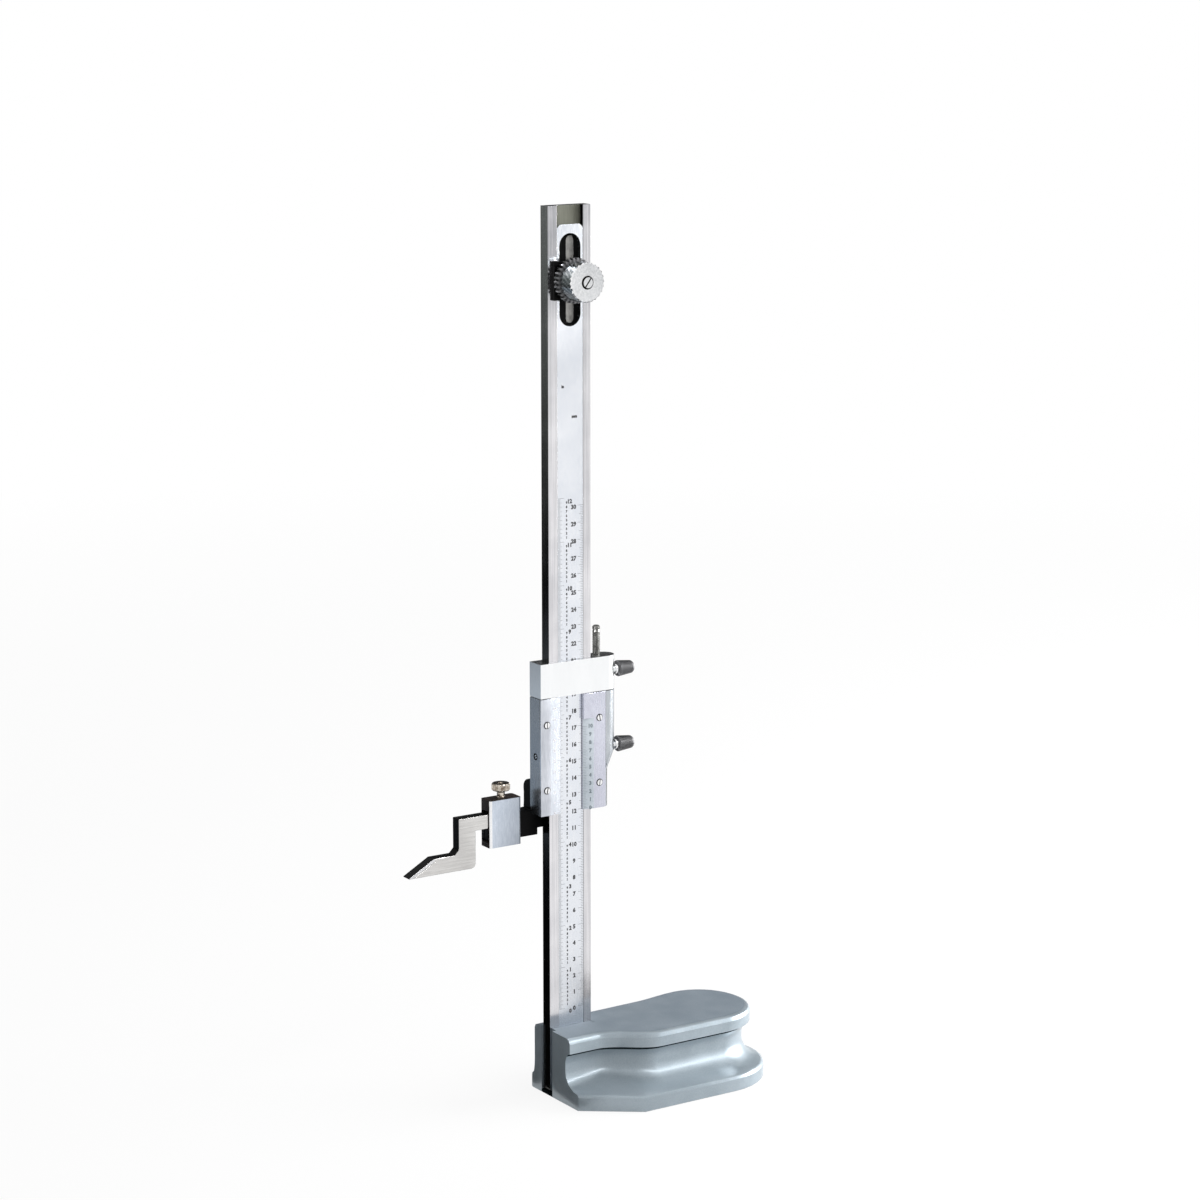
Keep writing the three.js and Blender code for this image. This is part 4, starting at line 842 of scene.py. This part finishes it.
_, gib_y, gib_z = middle_of("gib_screw")
gib_screw = slotted_head(
    "gib_screw_head", radius=1.6, height=0.8, place=(gib_head_foot, gib_y, gib_z), axis="-X",
    turn=30, slot=0.6, deep=0.6, ring=0.35, dome=0.7,
)
keep(gib_screw, "slider", "bright_steel", "gib_screw")
inch_plate = dressed("inch_vernier_plate", "slider", "satin_chrome", plate_chrome, edge=0.12, shortest=6)
metric_plate = dressed(
    "metric_vernier_plate", "slider", "satin_chrome", lavender_chrome, edge=0.12, shortest=6,
)
inch_plate.data.materials.append(matte_chrome)
metric_plate.data.materials.append(frosted_bevel)
dead_flat = 0.999
bevel_area = 20 * MM * MM
for face in inch_plate.data.polygons:
    if face.normal.y < -dead_flat:
        face.material_index = 1
for face in metric_plate.data.polygons:
    if -dead_flat < face.normal.y < -facing and face.area > bevel_area:
        face.material_index = 1
plate_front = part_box("inch_vernier_plate")[0].y / MM
plate_screw_foot = plate_front + 0.02
slot_turns = (-12, 5, -6, 10)
for n, turn in enumerate(slot_turns, 1):
    x, _, z = middle_of(f"vernier_screw_{n}")
    screw = slotted_head(
        f"vernier_screw_head_{n}", radius=1.85, height=0.42, place=(x, plate_screw_foot, z), axis="-Y",
        turn=turn, slot=0.55, deep=0.75, ring=0.35,
    )
    keep(screw, "slider", "bright_steel", f"vernier_screw_{n}")

zero_rise = 0.7
vernier_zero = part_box("slider_frame")[0].z / MM + zero_rise
bevel_drop = 1.55
inch_bevel, metric_bevel = 7.5, 6.8
inch_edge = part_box("inch_vernier_plate")[1].x / MM
metric_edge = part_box("metric_vernier_plate")[0].x / MM
inch_turn = math.atan2(bevel_drop, inch_bevel)
metric_turn = -math.atan2(bevel_drop, metric_bevel)


def inch_surface(x):
    return plate_front + max(0, bevel_drop - (inch_edge - x) * bevel_drop / inch_bevel)


def metric_surface(x):
    return plate_front + max(0, bevel_drop - (x - metric_edge) * bevel_drop / metric_bevel)


edge_gap = 0.1


def plate_rows(edge, way, surface, turn, pitch):
    """A vernier's 50 divisions, with a longer line at every fifth, on the slope of its bevel."""
    rows = []
    for count, step, reach in ((51, pitch, 2.0), (11, 5 * pitch, 3.0)):
        near, far = edge + way * edge_gap, edge + way * reach
        rows.append(mark_row(count, step, near, far, surface((near + far) / 2), vernier_zero, turn))
    return rows


inch_pitch = inch * 2.45 / 50
metric_pitch = 0.98  # 50 divisions over 49 millimetres
inch_rows = plate_rows(inch_edge, -1, inch_surface, inch_turn, inch_pitch)
metric_rows = plate_rows(metric_edge, 1, metric_surface, metric_turn, metric_pitch)
as_one("inch_vernier_lines", inch_rows, "slider", faint_ink)
as_one("metric_vernier_lines", metric_rows, "slider", grey_ink)
inch_text_x, inch_text_size = -11.6, 1.4
metric_text_x, metric_text_size = 12.9, 2.1
inch_text_y, metric_text_y = inch_surface(inch_text_x), metric_surface(metric_text_x)
inch_numbers = [
    (str(5 * n), inch_text_x, inch_text_y, vernier_zero + 5 * n * inch_pitch, inch_text_size)
    for n in range(11)
]
metric_numbers = [
    (str(n), metric_text_x, metric_text_y, vernier_zero + 5 * n * metric_pitch, metric_text_size)
    for n in range(11)
]
as_one("inch_vernier_numbers", figures(inch_numbers, inch_turn), "slider", faint_ink)
as_one("metric_vernier_numbers", figures(metric_numbers, metric_turn, bold=0.17), "slider", grey_ink)

# Jaw: a blacked plate of steel with the stepped arm that carries the scriber.
# Four cap screws hold it against the slider's back.
dressed("jaw", "slider", "blacked_steel", black_oxide_and_shade, edge=0.3, shortest=4)
for n in (1, 2, 3, 4):
    dressed(f"jaw_screw_{n}", "slider", "blacked_steel", black_oxide_and_shade, edge=0.1, shortest=0.9)

# Clamps of the slider and of the feed box: a brass shoe behind a screw.
# Each screw has a bright collar and a black tapered knob with crossed knurling and a small dimple.
clamp_bore, clamp_bevel, clamp_taper = 2.2, 0.5, 1
tip_bevel, tip_inset = 0.9, 1.6
dimple_rim, dimple_floor, dimple_depth = 0.8, 0.7, 0.6
for node, carrier in (("slider_clamp", "slider"), ("feed_clamp", "feed_box")):
    dressed(f"{node}_shoe", carrier, "brass", brass, edge=0.15)
    dressed(f"{node}_screw", node, "bright_steel", bright_steel, edge=0.1, shortest=0.8)
    _, y, z = middle_of(f"{node}_knob")
    knob_low, knob_high = (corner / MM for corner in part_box(f"{node}_knob"))
    foot = (knob_high.z - knob_low.z) / 2 - 0.05
    reach = knob_high.x - knob_low.x - 0.01
    knob = turned_piece(
        f"{node}_knob_knurled", 52,
        [(clamp_bore, 0), (foot - clamp_bevel, 0)]
        + band(foot, clamp_bevel, reach - tip_bevel, 16, foot - clamp_taper)
        + [(foot - tip_inset, reach), (dimple_rim, reach), (dimple_floor, reach - dimple_depth)],
        (knob_low.x, y, z), "X", knurled_black, rough=(0.4, reach - 0.8), beyond=3.5, depth=0.3,
        crossed=True,
    )
    keep(knob, node, "blacked_steel", f"{node}_knob")

# Fine feed: a chromed box with a knurled brass nut on a screw that stands in the slider.
# The nut shows in a window at the back, where a finger turns it.
white_chrome = finish(
    "white_chrome", ((0.86, 0.872, 0.882), (0.905, 0.913, 0.92)), 1.0, (0.14, 0.22), (1500, 1500, 60),
    relief=0.001 * MM,
)
dressed("feed_box", "feed_box", "satin_chrome", white_chrome, edge=0.45, shortest=5)
nut_x, nut_y, _ = middle_of("feed_nut")
nut_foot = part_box("feed_nut")[0].z / MM
nut_radius = (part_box("feed_nut")[1].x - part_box("feed_nut")[0].x) / 2 / MM
nut_bore, nut_height = 2.4, 5.99
nut_shoulder = nut_radius - 0.6
nut_flank = (0.6, 5.4)
feed_nut = turned_piece(
    "feed_nut_knurled", 80,
    [(nut_bore, 0), (nut_shoulder, 0)] + band(nut_radius - 0.05, *nut_flank, 8)
    + [(nut_shoulder, nut_height), (nut_bore, nut_height)],
    (nut_x, nut_y, nut_foot), "Z", brass, rough=(0.5, 5.5), beyond=nut_radius - 0.4, depth=0.35,
    crossed=True,
)
keep(feed_nut, "feed_nut", "brass", "feed_nut")

blued_steel = finish(
    "blued_screw_steel", ((0.10, 0.10, 0.095), (0.25, 0.25, 0.24)), 1.0, (0.16, 0.3), (500, 500, 500),
)
screw_low, screw_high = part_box("feed_screw")
screw_radius = (screw_high.x - screw_low.x) / 2 / MM
screw_x, screw_y, _ = middle_of("feed_screw")
screw_length = (screw_high.z - screw_low.z) / MM
thread_pitch = 1.0
plain_end = 3
thread_root, root_level = screw_radius - 0.45, 0.4
thread_crest, crest_level = screw_radius - 0.02, 0.9
screw_end = [(0.5, 2.4), (0.1, 2.2), (0.1, 0.7), (0.8, 0.01)]  # inset from the radius, distance from the tip
thread_stages = [(screw_radius - 0.5, 0)]
for n in range(int(screw_length - plain_end)):
    thread_stages.append((thread_root, root_level + n * thread_pitch))
    thread_stages.append((thread_crest, crest_level + n * thread_pitch))
thread_stages += [(screw_radius - inset, screw_length - drop) for inset, drop in screw_end]
feed_screw = turned_piece(
    "feed_screw_threaded", 28, thread_stages, (screw_x, screw_y, screw_low.z / MM), "Z", blued_steel,
    smooth=40,
)
keep(feed_screw, "slider", "ground_steel", "feed_screw")

# Scriber clamp: a thick strap, chromed on its face, which is painted darker towards the column as painted
# shade. Its left round is given bright steel as a painted highlight, and its sides are painted brown-black
# as a painted dark reflection. It holds a brass pad and a nickelled, knurled thumb screw.
to_the_column = (1, 0, -0.35)
# Painted shade: the strap's face grows darker towards the column.
strap_shade_starts, strap_shade_ends, strap_shade_share = -107 * MM, -84 * MM, 0.6
strap_chrome = finish(
    "strap_chrome", ((0.50, 0.555, 0.64), (0.62, 0.675, 0.76)), 1.0, (0.18, 0.28), (900, 900, 200),
    relief=0.002 * MM, fade=(to_the_column, strap_shade_starts, strap_shade_ends, strap_shade_share),
)
# Brown-black for the strap's sides, a painted dark reflection.
brown_black_reflection = finish(
    "brown_black_reflection", ((0.006, 0.004, 0.004), (0.03, 0.018, 0.014)), 0.2, (0.3, 0.45), (500, 500, 500),
    shine=0.25,
)
strap = dressed(
    "scriber_clamp", "scriber_clamp", "satin_chrome", strap_chrome, edge=0.2, shortest=4, sides=brown_black_reflection,
)
strap.data.materials.append(bright_steel)
# The left round gets bright steel as a painted highlight.
round_x, round_y = -0.15, -0.5
for face in strap.data.polygons:
    if face.normal.x < round_x and face.normal.y < round_y:
        face.material_index = 2
dressed("clamp_pad", "scriber_clamp", "brass", brass, edge=0.1)
warm_nickel = finish(
    "warm_nickel", ((0.22, 0.17, 0.13), (0.74, 0.69, 0.61)), 1.0, (0.1, 0.22), (500, 500, 500), blotch=300,
)
thumb_x, thumb_y, _ = middle_of("thumb_screw")
thumb_low, thumb_high = (corner.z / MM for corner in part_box("thumb_screw"))
strap_gap, head_height = 0.12, 4.2
collar_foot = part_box("scriber_clamp")[1].z / MM + strap_gap - thumb_low
head_foot = thumb_high - head_height - thumb_low
shank_radius, head_radius = 2.1, 5.42
collar_stages = [(shank_radius, 0), (2.6, 0.01), (2.6, 0.6), (2.3, 1.0)]  # radius, height above collar_foot
throat_stages = [(2.3, -1.2), (3.4, -0.1), (4.9, 0)]  # radius, height above head_foot
crown_stages = [(4.9, 4.19), (1.4, 4.19), (1.2, 3.8)]
thumb_stages = [(shank_radius, 0)] + [(radius, collar_foot + rise) for radius, rise in collar_stages]
thumb_stages += [(radius, head_foot + rise) for radius, rise in throat_stages]
thumb_stages += band(head_radius, head_foot + 0.5, head_foot + 3.6, 4)
thumb_stages += [(radius, head_foot + rise) for radius, rise in crown_stages]
thumb_screw = turned_piece(
    "thumb_screw_knurled", 56, thumb_stages, (thumb_x, thumb_y, thumb_low), "Z", warm_nickel,
    rough=(head_foot + 0.4, head_foot + 3.7), beyond=5.2, depth=0.4,
)
keep(thumb_screw, "thumb_screw", "bright_steel", "thumb_screw")

# Scriber: a flat bar of hardened steel, ground on both faces, with its edges painted black as painted shade.
# A carbide tip is brazed to its end and ground to a point, its edges painted black in the same way.
scriber_steel = finish(
    "scriber_steel", ((0.52, 0.51, 0.50), (0.68, 0.67, 0.655)), 1.0, (0.16, 0.28), (60, 1800, 1800),
    relief=0.003 * MM,
)
carbide = finish(
    "ground_carbide", ((0.55, 0.55, 0.56), (0.75, 0.75, 0.76)), 1.0, (0.1, 0.2), (900, 900, 900),
)
# The edges of the scriber and of its tip get the black as painted shade.
dressed("scriber", "scriber", "bright_steel", scriber_steel, edge=0.4, sides=black_oxide_and_shade)
dressed("scriber_tip", "scriber", "carbide", carbide, edge=0.12, sides=black_oxide_and_shade)
